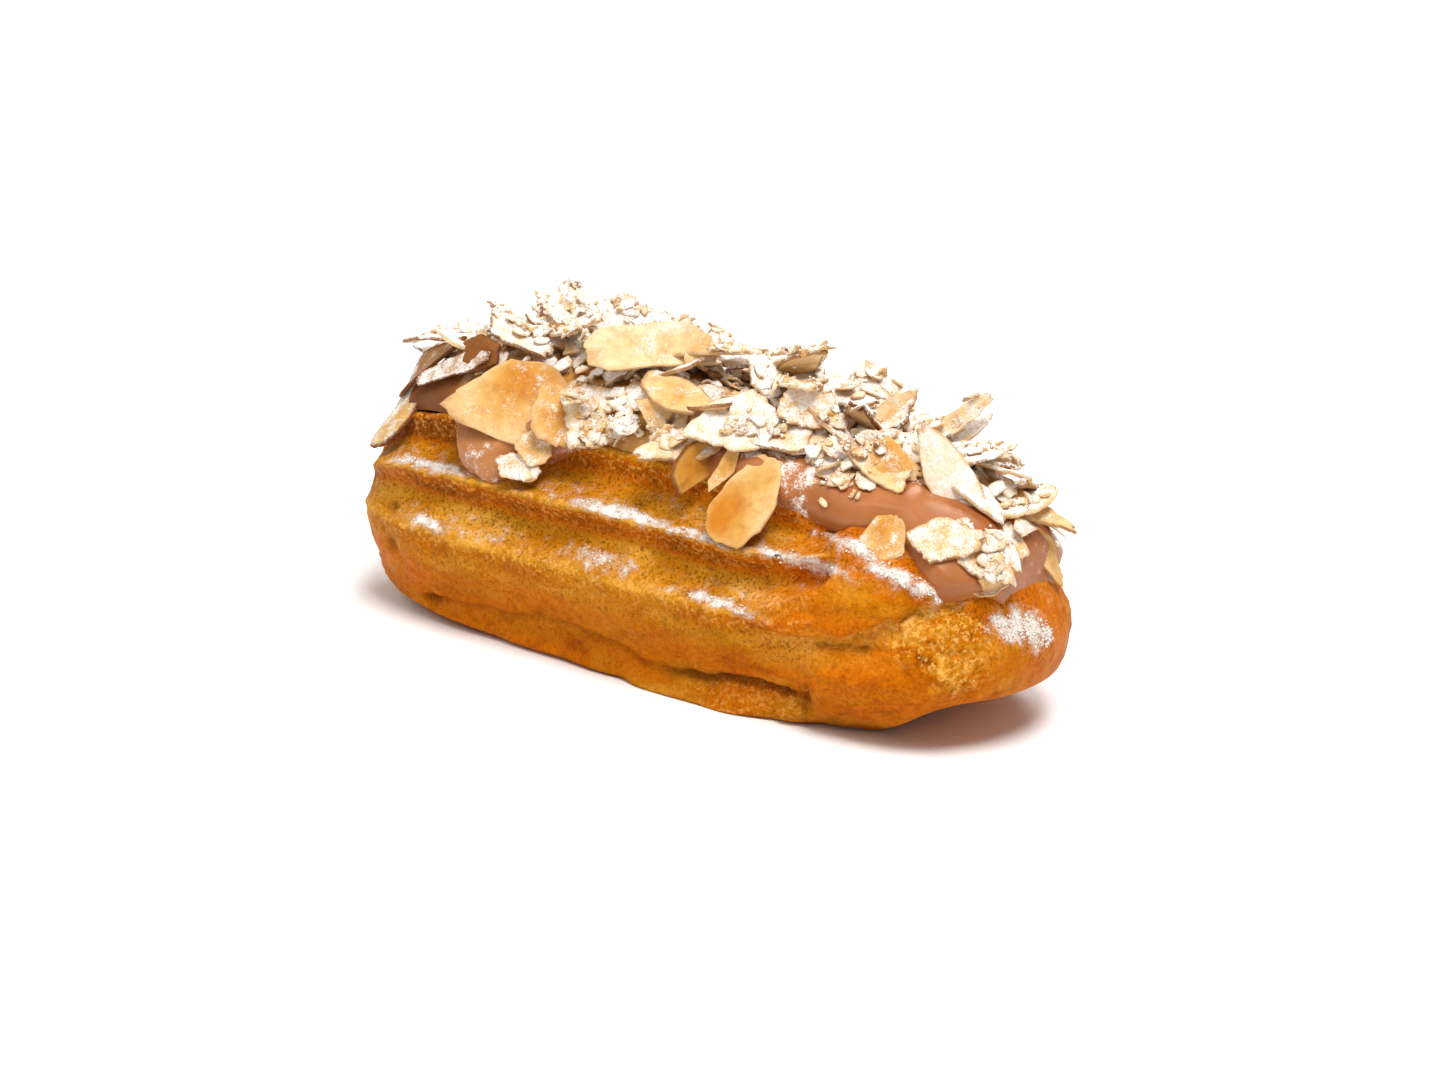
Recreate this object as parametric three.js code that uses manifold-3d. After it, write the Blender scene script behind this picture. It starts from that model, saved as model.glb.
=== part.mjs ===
// Almond eclair: a star-piped choux shell on a flat baked base, a poured milk-chocolate icing
// over its top, and flaked almonds heaped on the icing.
// Millimetres, +Z up. X runs along the eclair, -Y is its front, and the origin is on the flat base.
// Angles are in degrees. On a section they run from the front (0) over the top (90) to the back (180).
import * as THREE from "three";
import { mergeVertices } from "three/addons/utils/BufferGeometryUtils.js";
import Module from "manifold-3d";

const wasm = await Module();
wasm.setup();

// Driving dimensions of the shell
const LEFT_REACH = 66.5; // from the origin to the -X end
const RIGHT_REACH = 63;
const WIDTH = 49;
const SHELL_HEIGHT = 41;
const CENTRE_HEIGHT = 16; // where the section is widest
const RIGHT_DROP = { depth: 3.5, from: 10 }; // the +X end is baked lower than the rest
const BASE_DEPTH = 22; // depth of the full section below its centre, before the base cuts it flat
const SECTION_POWER = 2.25; // 2 is an ellipse, more is squarer
const LEFT_BLUNTNESS = 6;
const RIGHT_BLUNTNESS = 6.5;
const LEFT_LIFT = { height: 3, from: -24, to: -66 }; // the base curls up at both ends
const RIGHT_LIFT = { height: 9, from: 41, to: 60 };
const LUMP_HEIGHT = 0.6;
const UNEVENNESS = [
  { along: 0.09, round: 2, shift: 1, weight: 0.38 },
  { along: 0.19, round: -3, shift: 1.7, weight: 0.38 },
  { along: 0.41, round: 5, shift: 2.3, weight: 0.24 },
];
const LUMP_PATTERN = 1; // picks one unevenness for the lumps and another for the ridges
const RIDGE_PATTERN = 4;

// Piped ridges round the section. After each crest comes a valley of this depth; a skew below 1 moves
// it towards that crest. A narrowness above 1 pinches it to a crack, and below 1 it sharpens the crests.
// Steps are columns across it.
const RIDGES = [
  { angle: -37, depth: 2.2, skew: 0.5, narrow: 1.7, steps: 6 },
  { angle: 4, depth: 3.8, skew: 1.4, narrow: 0.65, steps: 6 },
  { angle: 28, depth: 4.2, skew: 1.4, narrow: 0.65, steps: 5 },
  { angle: 53, depth: 3, skew: 1.4, narrow: 0.65, steps: 3 },
  { angle: 79, depth: 1.5, skew: 1, narrow: 1, steps: 2 },
  { angle: 101, depth: 3, skew: 0.74, narrow: 0.65, steps: 3 },
  { angle: 127, depth: 4.2, skew: 0.74, narrow: 0.65, steps: 4 },
  { angle: 152, depth: 3.8, skew: 0.74, narrow: 0.65, steps: 4 },
  { angle: 176, depth: 2.2, skew: 2, narrow: 1.7, steps: 6 },
  { angle: 217, depth: 0, skew: 1, narrow: 1, steps: 5 },
  { angle: 323, depth: 0, skew: 1, narrow: 1, steps: 0 },
];
const RIDGE_SOFTNESS = 0.08;
const RIDGE_SPREAD = 0.2; // share by which their depth varies
const RIDGE_FADE = [1, 5]; // distances under the icing between which they fade out
const RIDGE_SWEEP = { angle: 24, from: 16, to: 60 }; // the ridges climb towards the +X end
const RIDGE_END = [33, 38]; // between these their valleys close into one thick lip
// That lip grows out of this ridge and takes up a share of the valley above it, as a line of [x, share]
const LIP_RIDGE = 1;
const LIP_RISE = [[20, 0], [27, 0.16], [33, 0.35], [37, 0.52], [40, 0.6]];
const BULGES = [
  { x: 43, angle: -46, height: 0.8, length: 3.5, spread: 9 },
  { x: 46, angle: 25, height: 2.2, length: 8, spread: 11 },
  { x: 56, angle: 0, height: 1.8, length: 8, spread: 12 },
];
// The front of the base stands out or draws in along a line of [x, mm], most at this angle
const BASE_FLARE = {
  angle: -42,
  spread: 13,
  line: [
    [-45, 0], [-18, 1.5], [-4, 2.5], [2, 4.5], [17, 4.6], [29, 1.1], [36, -1.8], [44, -4], [52, -4], [63, 0],
  ],
};
const RIGHT_NOSE = { length: 2.6, from: 48, height: 17, spread: 7.5 }; // the +X end swells below the icing

// The torn hollow under the lip: a line of [x, angle], its depth along it, and its widths above and below
const LIP_CRACK = {
  line: [
    [22.5, 0], [30, 2.6], [35.4, 5], [40, 9], [44.3, 14], [49.8, 22.7], [53.1, 34.3], [56, 40], [63, 43],
  ],
  depth: [[20, 0], [27, 0.9], [38, 1.5], [47, 2], [53, 1.7], [57, 0.7], [61, 0]],
  widths: [0.4, 4],
};

// Icing, which ends along wavy lines of [x, angle] on the front and, counted from the back, behind
const ICING_THICKNESS = 2.6;
const ICING_ROUNDING = 3.5; // distance over which its edge rounds off
const ICING_LEFT = -60;
const ICING_RIGHT = 61;
const ICING_DIVE = 1.2; // how far its rim dives under the shell's crests
const ICING_ROOT = 0.8; // share of the section that its hidden inside reaches down to
const GAP = 0.3; // clearance between the shell and what lies on it
const FRONT_EDGE = [
  [-60, 64], [-48, 64], [-41, 48], [-36, 32], [-31, 29], [-25, 44], [-14, 54], [20, 52], [36, 50],
  [44, 55], [54, 37], [61, 56],
];
const BACK_EDGE = [[-60, 54], [-48, 48], [-22, 36], [6, 44], [34, 33], [54, 32], [61, 52]];

// Flaked almonds: slices with one pointed end
const FLAKE_THICKNESS = 1;
const FLAKE_POINTS = 9; // corners of a slice
const TIP_SHARPNESS = 0.5;
const TIP_NARROWING = 0.86; // widest share of a slice that its pointed end leaves

// Slices that stand out: place, bearing and rise of the face, turn in its own plane, length and
// width, share of the length left unbroken, and how far the slice bows
const PLACED_FLAKES = [
  { at: [-31.4, -16.9, 41.4], facing: [-68, 38], spin: 176, size: [24, 15.5], kept: 1, bow: -1 },
  { at: [-9.3, -7.6, 53], facing: [-60, 42], spin: 188, size: [22, 8.4], kept: 1, bow: 0 },
  { at: [-1, -4.5, 54.5], facing: [-60, 30], spin: 80, size: [9, 5], kept: 0.7, bow: 0 },
  { at: [-45, -12.6, 43.6], facing: [-106, 30], spin: 30, size: [17, 6.6], kept: 1, bow: 0.5 },
  { at: [-54, -8, 42], facing: [-140, 40], spin: 62, size: [19, 9], kept: 1, bow: -1 },
  { at: [-40, -12, 47.4], facing: [-95, 27], spin: 18, size: [13, 7], kept: 0.9, bow: -1.5 },
  { at: [-57.4, -11.2, 33.8], facing: [-125, 35], spin: 92, size: [15, 8], kept: 0.9, bow: 0.5 },
  { at: [-13.5, -13.8, 41.6], facing: [-66, 42], spin: 20, size: [15, 11], kept: 0.85, bow: 0 },
  { at: [2, -13, 47.5], facing: [-75, 62], spin: -27, size: [18, 10], kept: 1, bow: 0 },
  { at: [-2.5, -15, 44.5], facing: [-55, 20], spin: -30, size: [9, 7], kept: 0.8, bow: 0 },
  { at: [4, -16, 41.5], facing: [-62, 58], spin: 25, size: [18, 10], kept: 1, bow: 0.5 },
  { at: [7.5, -17.5, 37.5], facing: [-20, 10], spin: 213, size: [12, 8], kept: 1, bow: 0 },
  { at: [13, -16, 39], facing: [-50, 20], spin: 47, size: [9, 5], kept: 1, bow: 0 },
  { at: [18.7, -17.9, 35.4], facing: [-84, 40], spin: 80, size: [19, 10.4], kept: 1, bow: 0 },
  { at: [21, -10.5, 43.5], facing: [-60, 65], spin: 15, size: [17, 8], kept: 1, bow: -0.5 },
  { at: [13, -12.5, 45], facing: [-60, 50], spin: 25, size: [20, 12], kept: 1, bow: 0 },
  { at: [22, -6, 48.5], facing: [-60, 40], spin: -40, size: [14, 9], kept: 1, bow: 0 },
  { at: [38, -8.5, 41.8], facing: [-60, 55], spin: -30, size: [15, 9], kept: 1, bow: 1.5 },
  { at: [39.5, -7, 43.5], facing: [-60, 35], spin: -25, size: [11, 7], kept: 0.9, bow: -1.5 },
  { at: [47.6, -4.3, 42.1], facing: [-50, 20], spin: 120, size: [18.5, 8], kept: 1, bow: 0 },
  { at: [58.5, 6, 36], facing: [-30, 70], spin: -60, size: [17, 8], kept: 1, bow: -0.5 },
  { at: [59.5, 6.5, 30], facing: [-10, 25], spin: -65, size: [18, 6], kept: 1, bow: 0 },
  { at: [31, 4, 46.5], facing: [-60, 10], spin: 50, size: [13, 5], kept: 1, bow: 0 },
  { at: [41.5, 6, 43.8], facing: [-60, 46], spin: 34, size: [17, 5], kept: 1, bow: 1.5 },
  { at: [43.4, -16.6, 33.2], facing: [-70, 44], spin: 75, size: [13, 9], kept: 0.85, bow: 0 },
  { at: [-23, -19.6, 35.4], facing: [-64, 34], spin: 65, size: [11, 6], kept: 0.9, bow: 0 },
  { at: [-24.5, -21.6, 32], facing: [-72, 34], spin: 10, size: [9, 6], kept: 0.9, bow: 0 },
  { at: [54, -11, 35], facing: [-60, 42], spin: 20, size: [9, 7], kept: 0.8, bow: 0 },
  { at: [58.5, -9, 32.6], facing: [-38, 34], spin: -40, size: [9, 7], kept: 0.8, bow: 0 },
  { at: [58.5, -2.5, 33.4], facing: [-30, 45], spin: 70, size: [9, 7], kept: 0.8, bow: 0 },
  { at: [-20.5, -16.6, 41], facing: [-60, 36], spin: 100, size: [15, 9], kept: 0.9, bow: 0.5 },
];

// The heap under them: height above the icing and its front limit, as lines of [x, mm]
const HEAP_COUNT = 43;
const HEAP_HEIGHT = [
  [-62, 2], [-54, 6], [-46, 9], [-30, 9.2], [0, 9], [14, 7.5], [27, 4], [45, 4], [58, 2.5],
];
const HEAP_FRONT = [[-62, -11], [-40, -15], [0, -15], [14, -12], [25, -8], [45, -7], [62, -5]];
const HEAP_BACK = 17;
const HEAP_ENDS = [-58, 58];
const HEAP_TALL = { share: 0.7, to: 22 }; // share of the slices that lie on its tall -X part
const HEAP_STRIDE = 0.618; // spaces the slices evenly along it
const HEAP_TRIES = 4; // places tried across it for each slice, of which the emptiest is taken
const HEAP_ROUNDING = 0.45;
const HEAP_CORE = 0.4; // share of the heap that is packed solid with crumbs and sugar
const HEAP_LENGTHS = [21, 13]; // from the first slice to the last
const HEAP_SLIMNESS = [0.5, 0.62];
const HEAP_TILTS = [6, 42];
const HEAP_BOW = 1.4;
const HEAP_KEPT = [0.65, 1.2]; // whole from 1 up
const HEAP_SINK = { least: 1, tilted: 2.6 }; // how far a slice settles into those below it
const HEAP_CELL = 1.5; // grid on which the heap's height is kept
const HEAP_SEED = 4;
const FLAKE_RINGS = [0.25, 0.5, 0.75, 1]; // where a slice is felt for what lies below it
const FLAKE_BEARINGS = 24;
const DRAW = { multiplier: 1664525, increment: 1013904223, span: 2 ** 32 };

// Mesh density
const SHELL_STATIONS = 44;
const ICING_STATIONS = 28;
const ICING_COLUMNS = 16;
const STATION_BUNCHING = 1.6; // stations crowd towards the ends
const WELD = 1e-4;

const HALF_WIDTH = WIDTH / 2;
const BAKED_CHOUX = { color: 0xbb7a22, roughness: 0.55, metalness: 0 };
const SUGARED_ALMONDS = { color: 0xe6cba0, roughness: 0.6, metalness: 0 };

function radians(degrees) {
  return (degrees * Math.PI) / 180;
}

function mix(from, to, share) {
  return from + (to - from) * share;
}

function smoothstep(from, to, value) {
  const t = Math.min(1, Math.max(0, (value - from) / (to - from)));
  return t * t * (3 - 2 * t);
}

// Value at x on a line through [x, value] points, eased from each point to the next
function alongLine(points, x) {
  const next = points.findIndex(([px]) => px > x);
  if (next === 0) return points[0][1];
  if (next < 0) return points[points.length - 1][1];
  const [[x0, v0], [x1, v1]] = [points[next - 1], points[next]];
  return mix(v0, v1, smoothstep(x0, x1, x));
}

// Smooth unevenness between -1 and 1
function unevenness(x, angle, pattern) {
  return UNEVENNESS.reduce((sum, { along, round, shift, weight }) => {
    return sum + weight * Math.sin(along * x + round * angle + shift * pattern);
  }, 0);
}

// The section shrinks to this share towards either end
function endShare(x) {
  const left = Math.abs(x / LEFT_REACH) ** LEFT_BLUNTNESS;
  const right = Math.abs(x / RIGHT_REACH) ** RIGHT_BLUNTNESS;
  return Math.sqrt(Math.max(0, 1 - (x < 0 ? left : right)));
}

function centreHeight(x) {
  return CENTRE_HEIGHT - RIGHT_DROP.depth * smoothstep(RIGHT_DROP.from, RIGHT_REACH, x);
}

function baseHeight(x) {
  const left = LEFT_LIFT.height * smoothstep(LEFT_LIFT.from, LEFT_LIFT.to, x);
  return left + RIGHT_LIFT.height * smoothstep(RIGHT_LIFT.from, RIGHT_LIFT.to, x);
}

// Distance from the section's centre to its outline, before any ridges
function sectionReach(angle) {
  const upright = Math.sin(angle) > 0 ? SHELL_HEIGHT - CENTRE_HEIGHT : BASE_DEPTH;
  const across = Math.abs(Math.cos(angle) / HALF_WIDTH) ** SECTION_POWER;
  const above = Math.abs(Math.sin(angle) / upright) ** SECTION_POWER;
  return (across + above) ** (-1 / SECTION_POWER);
}

// Share of a swelling's height that is felt round the section from its middle angle
function swellShare(angle, { angle: middle, spread }) {
  const turned = angle - radians(middle);
  return Math.cos(turned) > 0 ? Math.exp(-((Math.sin(turned) / radians(spread)) ** 2)) : 0;
}

function bulgeAt(x, angle) {
  const even = LUMP_HEIGHT * unevenness(x, angle, LUMP_PATTERN);
  const flare = alongLine(BASE_FLARE.line, x) * swellShare(angle, BASE_FLARE);
  return BULGES.reduce((sum, bulge) => {
    const along = (x - bulge.x) / bulge.length;
    return sum + bulge.height * Math.exp(-along * along) * swellShare(angle, bulge);
  }, even + flare);
}

// Depth of the torn hollow at a place on the front
function lipCrackAt(x, angle) {
  if (Math.cos(angle) < 0) return 0;
  const gap = (angle - radians(alongLine(LIP_CRACK.line, x))) * HALF_WIDTH;
  const [above, below] = LIP_CRACK.widths;
  return alongLine(LIP_CRACK.depth, x) * Math.exp(-((gap / (gap > 0 ? above : below)) ** 2));
}

// How far the +X end swells outward at a height
function noseAt(x, z) {
  const away = (z - RIGHT_NOSE.height) / RIGHT_NOSE.spread;
  return RIGHT_NOSE.length * smoothstep(RIGHT_NOSE.from, RIGHT_REACH, x) * Math.exp(-away * away);
}

// How far inside the icing's edge a place is, in millimetres round the section
function icingInset(x, angle) {
  const front = angle - radians(alongLine(FRONT_EDGE, x));
  const back = Math.PI - radians(alongLine(BACK_EDGE, x)) - angle;
  return Math.min(front * HALF_WIDTH, back * HALF_WIDTH, x - ICING_LEFT, ICING_RIGHT - x);
}

// Direction and reach of the shell's surface at a turn, which counts crests round the section
function shellRay(x, turn) {
  const ridge = RIDGES[Math.floor(turn)];
  const next = RIDGES[Math.floor(turn) + 1];
  const share = turn - Math.floor(turn);
  const drawn = radians(mix(ridge.angle, next.angle, share));
  const climb = radians(RIDGE_SWEEP.angle) * smoothstep(RIDGE_SWEEP.from, RIDGE_SWEEP.to, x);
  const angle = drawn + climb * Math.cos(drawn);
  const lip = Math.floor(turn) === LIP_RIDGE ? alongLine(LIP_RISE, x) : 0;
  const within = Math.max(0, (share - lip) / (1 - lip));
  const valley = Math.sin(Math.PI * within ** ridge.skew) ** ridge.narrow;
  const softened = Math.hypot(valley, RIDGE_SOFTNESS) - RIDGE_SOFTNESS;
  const bare = 1 - smoothstep(...RIDGE_FADE, icingInset(x, angle));
  const open = 1 - smoothstep(...RIDGE_END, x);
  const varied = 1 + RIDGE_SPREAD * unevenness(x, drawn, RIDGE_PATTERN);
  const depth = ridge.depth * varied * softened * bare * open * endShare(x) + lipCrackAt(x, angle);
  return { angle, reach: (sectionReach(angle) + bulgeAt(x, angle) - depth) * endShare(x) };
}

function onSection(x, angle, reach) {
  return new THREE.Vector3(x, -Math.cos(angle) * reach, centreHeight(x) + Math.sin(angle) * reach);
}

function lengthwise(station, grow) {
  return station * ((station < 0 ? LEFT_REACH : RIGHT_REACH) + grow);
}

// A point on the shell at a station from -1 to 1 along it, standing off by a clearance
function shellPoint(station, turn, grow) {
  const x = lengthwise(station, 0);
  const { angle, reach } = shellRay(x, turn);
  const point = onSection(x, angle, reach + grow);
  point.z = Math.max(point.z, baseHeight(x) - grow);
  point.x = lengthwise(station, grow) + noseAt(x, point.z);
  return point;
}

// Reach of the icing's underlying surface, without ridges, at an angle
function smoothReach(x, angle) {
  return (sectionReach(angle) + bulgeAt(x, angle)) * endShare(x);
}

// The icing's outline at x: over the top from its front edge to its back edge, then back inside the shell
function icingPoint(x, column) {
  const front = radians(alongLine(FRONT_EDGE, x));
  const back = Math.PI - radians(alongLine(BACK_EDGE, x));
  const outer = column < ICING_COLUMNS;
  const step = outer ? column : 2 * ICING_COLUMNS - 1 - column;
  const angle = mix(front, back, step / (ICING_COLUMNS - 1));
  if (!outer) return onSection(x, angle, smoothReach(x, angle) * ICING_ROOT);
  const inset = Math.max(0, icingInset(x, angle));
  const rounded = Math.sqrt(Math.min(1, inset / ICING_ROUNDING));
  const standoff = mix(-ICING_DIVE, ICING_THICKNESS, rounded);
  const point = onSection(x, angle, smoothReach(x, angle) + standoff);
  point.x += (standoff * x) / (x < 0 ? LEFT_REACH : RIGHT_REACH);
  point.z += HEAP_CORE * heapRise(x, point.y);
  return point;
}

// How far the heap of almonds rises over the icing at a place on the plan
function heapRise(x, y) {
  const front = alongLine(HEAP_FRONT, x);
  const share = (y - front) / (HEAP_BACK - front);
  if (share <= 0 || share >= 1) return 0;
  return alongLine(HEAP_HEIGHT, x) * (4 * share * (1 - share)) ** HEAP_ROUNDING;
}

// Height of the icing's top over a place on the plan, or none beside the eclair
function icingTop(x, y) {
  const share = endShare(x);
  const across = Math.abs(y) / (HALF_WIDTH * share);
  if (!(across < 1)) return 0;
  const rise = (1 - across ** SECTION_POWER) ** (1 / SECTION_POWER);
  return centreHeight(x) + (SHELL_HEIGHT - CENTRE_HEIGHT) * share * rise + ICING_THICKNESS;
}

function stationsAlong(count) {
  return Array.from({ length: count - 1 }, (_, i) => {
    const v = (2 * (i + 1)) / count - 1;
    return Math.sign(v) * (1 - (1 - Math.abs(v)) ** STATION_BUNCHING);
  });
}

function shellTurns() {
  return RIDGES.flatMap(({ steps }, k) => Array.from({ length: steps }, (_, i) => k + i / steps));
}

// A closed surface of rings along X, each end closed to a single point
function ringedSolid(rings, first, last) {
  const columns = rings[0].length;
  const points = rings.flat();
  const firstIndex = points.push(first) - 1;
  const lastIndex = points.push(last) - 1;
  const lastRow = (rings.length - 1) * columns;
  const triangles = [];
  for (let j = 0; j < columns; j += 1) {
    const k = (j + 1) % columns;
    triangles.push(firstIndex, j, k);
    for (let row = 0; row < lastRow; row += columns) {
      triangles.push(row + j, row + columns + j, row + k);
      triangles.push(row + k, row + columns + j, row + columns + k);
    }
    triangles.push(lastIndex, lastRow + k, lastRow + j);
  }
  return solidOf(points, triangles);
}

function solidOf(points, triangles) {
  const geometry = new THREE.BufferGeometry().setFromPoints(points);
  geometry.setIndex(triangles);
  const merged = mergeVertices(geometry, WELD);
  return new wasm.Manifold(
    new wasm.Mesh({
      numProp: 3,
      vertProperties: new Float32Array(merged.attributes.position.array),
      triVerts: new Uint32Array(merged.index.array),
    }),
  );
}

function shellSolid(grow) {
  const turns = shellTurns();
  const rings = stationsAlong(SHELL_STATIONS).map((s) => turns.map((turn) => shellPoint(s, turn, grow)));
  const left = new THREE.Vector3(-LEFT_REACH - grow, 0, centreHeight(-LEFT_REACH));
  const height = centreHeight(RIGHT_REACH);
  const right = new THREE.Vector3(RIGHT_REACH + grow + noseAt(RIGHT_REACH, height), 0, height);
  return ringedSolid(rings, left, right);
}

function middleOf(points) {
  const sum = points.reduce((total, point) => total.add(point), new THREE.Vector3());
  return sum.divideScalar(points.length);
}

function icingSolid() {
  const columns = Array.from({ length: 2 * ICING_COLUMNS }, (_, i) => i);
  const middle = (ICING_LEFT + ICING_RIGHT) / 2;
  const half = (ICING_RIGHT - ICING_LEFT) / 2;
  const places = [-1, ...stationsAlong(ICING_STATIONS), 1].map((s) => middle + half * s);
  const rings = places.map((x) => columns.map((column) => icingPoint(x, column)));
  return ringedSolid(rings, middleOf(rings[0]), middleOf(rings[rings.length - 1]));
}

// Length, width and face directions of a slice that faces a bearing and a rise and is turned by a spin
function flakeAxes({ facing, spin }) {
  const [bearing, rise] = facing.map(radians);
  const level = Math.cos(rise);
  const face = new THREE.Vector3(level * Math.cos(bearing), level * Math.sin(bearing), Math.sin(rise));
  const sideways = new THREE.Vector3(-Math.sin(bearing), Math.cos(bearing), 0);
  const upwards = new THREE.Vector3().crossVectors(face, sideways);
  const turn = radians(spin);
  const along = sideways.multiplyScalar(Math.cos(turn)).addScaledVector(upwards, Math.sin(turn));
  return { along, across: new THREE.Vector3().crossVectors(face, along), face };
}

// A point of a slice: share of the way from its middle to its outline, and height over its mid surface
function flakePoint(flake, axes, corner, share, height) {
  const [length, width] = flake.size;
  const tip = Math.min(Math.cos(corner), 2 * flake.kept - 1) * share;
  const side = (Math.sin(corner) * Math.sin(corner / 2) ** TIP_SHARPNESS * share) / TIP_NARROWING;
  return new THREE.Vector3(...flake.at)
    .addScaledVector(axes.along, (tip * length) / 2)
    .addScaledVector(axes.across, (side * width) / 2)
    .addScaledVector(axes.face, flake.bow * tip * tip + height);
}

function flakeSolid(flake) {
  const axes = flakeAxes(flake);
  const corners = Array.from({ length: FLAKE_POINTS }, (_, i) => (2 * Math.PI * (i + 0.5)) / FLAKE_POINTS);
  const half = FLAKE_THICKNESS / 2;
  const rings = [-half, half].map((height) => corners.map((c) => flakePoint(flake, axes, c, 1, height)));
  const [under, over] = [-half, half].map((height) => flakePoint(flake, axes, 0, 0, height));
  const points = [...rings[0], ...rings[1], under, over];
  const underIndex = 2 * FLAKE_POINTS;
  const overIndex = underIndex + 1;
  const triangles = [];
  for (let j = 0; j < FLAKE_POINTS; j += 1) {
    const k = (j + 1) % FLAKE_POINTS;
    const [upperJ, upperK] = [j + FLAKE_POINTS, k + FLAKE_POINTS];
    triangles.push(underIndex, k, j, overIndex, upperJ, upperK);
    triangles.push(j, k, upperJ, k, upperK, upperJ);
  }
  return solidOf(points, triangles);
}

// Seeded even draws between 0 and 1
function drawsFrom(seed) {
  let state = seed;
  return () => {
    state = (state * DRAW.multiplier + DRAW.increment) % DRAW.span;
    return state / DRAW.span;
  };
}

// Where along the heap the slice at a share of them all goes
function heapPlace(share) {
  const { share: tall, to } = HEAP_TALL;
  if (share < tall) return mix(HEAP_ENDS[0], to, share / tall);
  return mix(to, HEAP_ENDS[1], (share - tall) / (1 - tall));
}

// Slices dropped one by one where the heap is emptiest, each resting on the icing and those below it
function heapedFlakes() {
  const draw = drawsFrom(HEAP_SEED);
  const heights = new Map();
  const cellOf = (x, y) => `${Math.floor(x / HEAP_CELL)},${Math.floor(y / HEAP_CELL)}`;
  const heightAt = (x, y) => heights.get(cellOf(x, y)) ?? icingTop(x, y) + HEAP_CORE * heapRise(x, y);
  const corners = Array.from({ length: FLAKE_BEARINGS }, (_, i) => (2 * Math.PI * i) / FLAKE_BEARINGS);
  const half = FLAKE_THICKNESS / 2;
  return Array.from({ length: HEAP_COUNT }, (_, i) => {
    const x = heapPlace((i * HEAP_STRIDE) % 1);
    let place = { lack: -Infinity };
    for (let trial = 0; trial < HEAP_TRIES; trial += 1) {
      const y = mix(alongLine(HEAP_FRONT, x), HEAP_BACK, draw());
      const rise = heapRise(x, y);
      const top = icingTop(x, y) + rise;
      const lack = (top - heightAt(x, y)) / Math.sqrt(rise);
      if (lack > place.lack) place = { y, top, lack };
    }
    const tilt = mix(...HEAP_TILTS, draw());
    const length = mix(...HEAP_LENGTHS, i / HEAP_COUNT);
    const flake = {
      at: [x, place.y, 0],
      facing: [360 * draw(), 90 - tilt],
      spin: 360 * draw(),
      size: [length, length * mix(...HEAP_SLIMNESS, draw())],
      kept: Math.min(1, mix(...HEAP_KEPT, draw())),
      bow: HEAP_BOW * (2 * draw() - 1),
    };
    const axes = flakeAxes(flake);
    const spots = FLAKE_RINGS.flatMap((ring) => corners.map((c) => flakePoint(flake, axes, c, ring, 0)));
    const support = Math.max(...spots.map((p) => heightAt(p.x, p.y) - p.z + half));
    const settled = support - HEAP_SINK.least - HEAP_SINK.tilted * Math.sin(radians(tilt));
    flake.at[2] = Math.min(settled, place.top);
    spots.forEach((p) => {
      const top = Math.max(heightAt(p.x, p.y), p.z + flake.at[2] + half);
      heights.set(cellOf(p.x, p.y), top);
    });
    return flake;
  });
}

// The largest body of a solid, with hollows sealed inside it filled and loose scraps dropped
function mainBody(solid) {
  const bodies = solid.decompose();
  return bodies.reduce((best, body) => (body.volume() > best.volume() ? body : best));
}

function meshOf(name, solid, finish) {
  const { vertProperties, triVerts } = solid.getMesh();
  const geometry = new THREE.BufferGeometry();
  geometry.setAttribute("position", new THREE.BufferAttribute(vertProperties, 3));
  geometry.setIndex(new THREE.BufferAttribute(triVerts, 1));
  geometry.computeVertexNormals();
  const mesh = new THREE.Mesh(geometry, new THREE.MeshStandardMaterial(finish));
  mesh.name = name;
  return mesh;
}

const flakes = [...heapedFlakes(), ...PLACED_FLAKES].map(flakeSolid);
const heaped = wasm.Manifold.union([icingSolid(), ...flakes]);
const topping = mainBody(heaped.subtract(shellSolid(GAP)));

const eclair = new THREE.Group();
eclair.add(meshOf("choux_shell", shellSolid(0), BAKED_CHOUX));
eclair.add(meshOf("almond_topping", topping, SUGARED_ALMONDS));

export default eclair;
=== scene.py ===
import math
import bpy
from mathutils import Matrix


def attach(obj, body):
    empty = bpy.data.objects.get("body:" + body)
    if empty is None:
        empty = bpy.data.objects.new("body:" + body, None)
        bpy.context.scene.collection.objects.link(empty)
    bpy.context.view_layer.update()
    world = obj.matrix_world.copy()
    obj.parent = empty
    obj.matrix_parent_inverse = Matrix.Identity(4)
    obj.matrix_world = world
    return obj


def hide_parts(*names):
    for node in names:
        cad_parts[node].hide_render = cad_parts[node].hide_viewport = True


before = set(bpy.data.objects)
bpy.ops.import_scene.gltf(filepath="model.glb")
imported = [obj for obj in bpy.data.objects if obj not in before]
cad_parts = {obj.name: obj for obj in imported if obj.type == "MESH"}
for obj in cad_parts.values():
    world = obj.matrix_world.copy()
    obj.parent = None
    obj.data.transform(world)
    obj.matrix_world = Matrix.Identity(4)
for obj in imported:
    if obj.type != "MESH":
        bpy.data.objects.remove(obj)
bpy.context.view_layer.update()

# Almond eclair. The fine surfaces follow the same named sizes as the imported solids: a star-piped choux
# shell, poured milk-chocolate icing, and flaked almonds with crumbs and icing sugar.
# Shapes are worked out in millimetres, +Z up, X along the eclair and -Y its front, and written in metres.
# Angles on a section run in degrees from the front (0) over the top (90) to the back (180).
from types import SimpleNamespace

import bmesh
import bpy
import numpy as np
from mathutils import Matrix, Vector
from mathutils.bvhtree import BVHTree

METRES = 0.001

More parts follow.
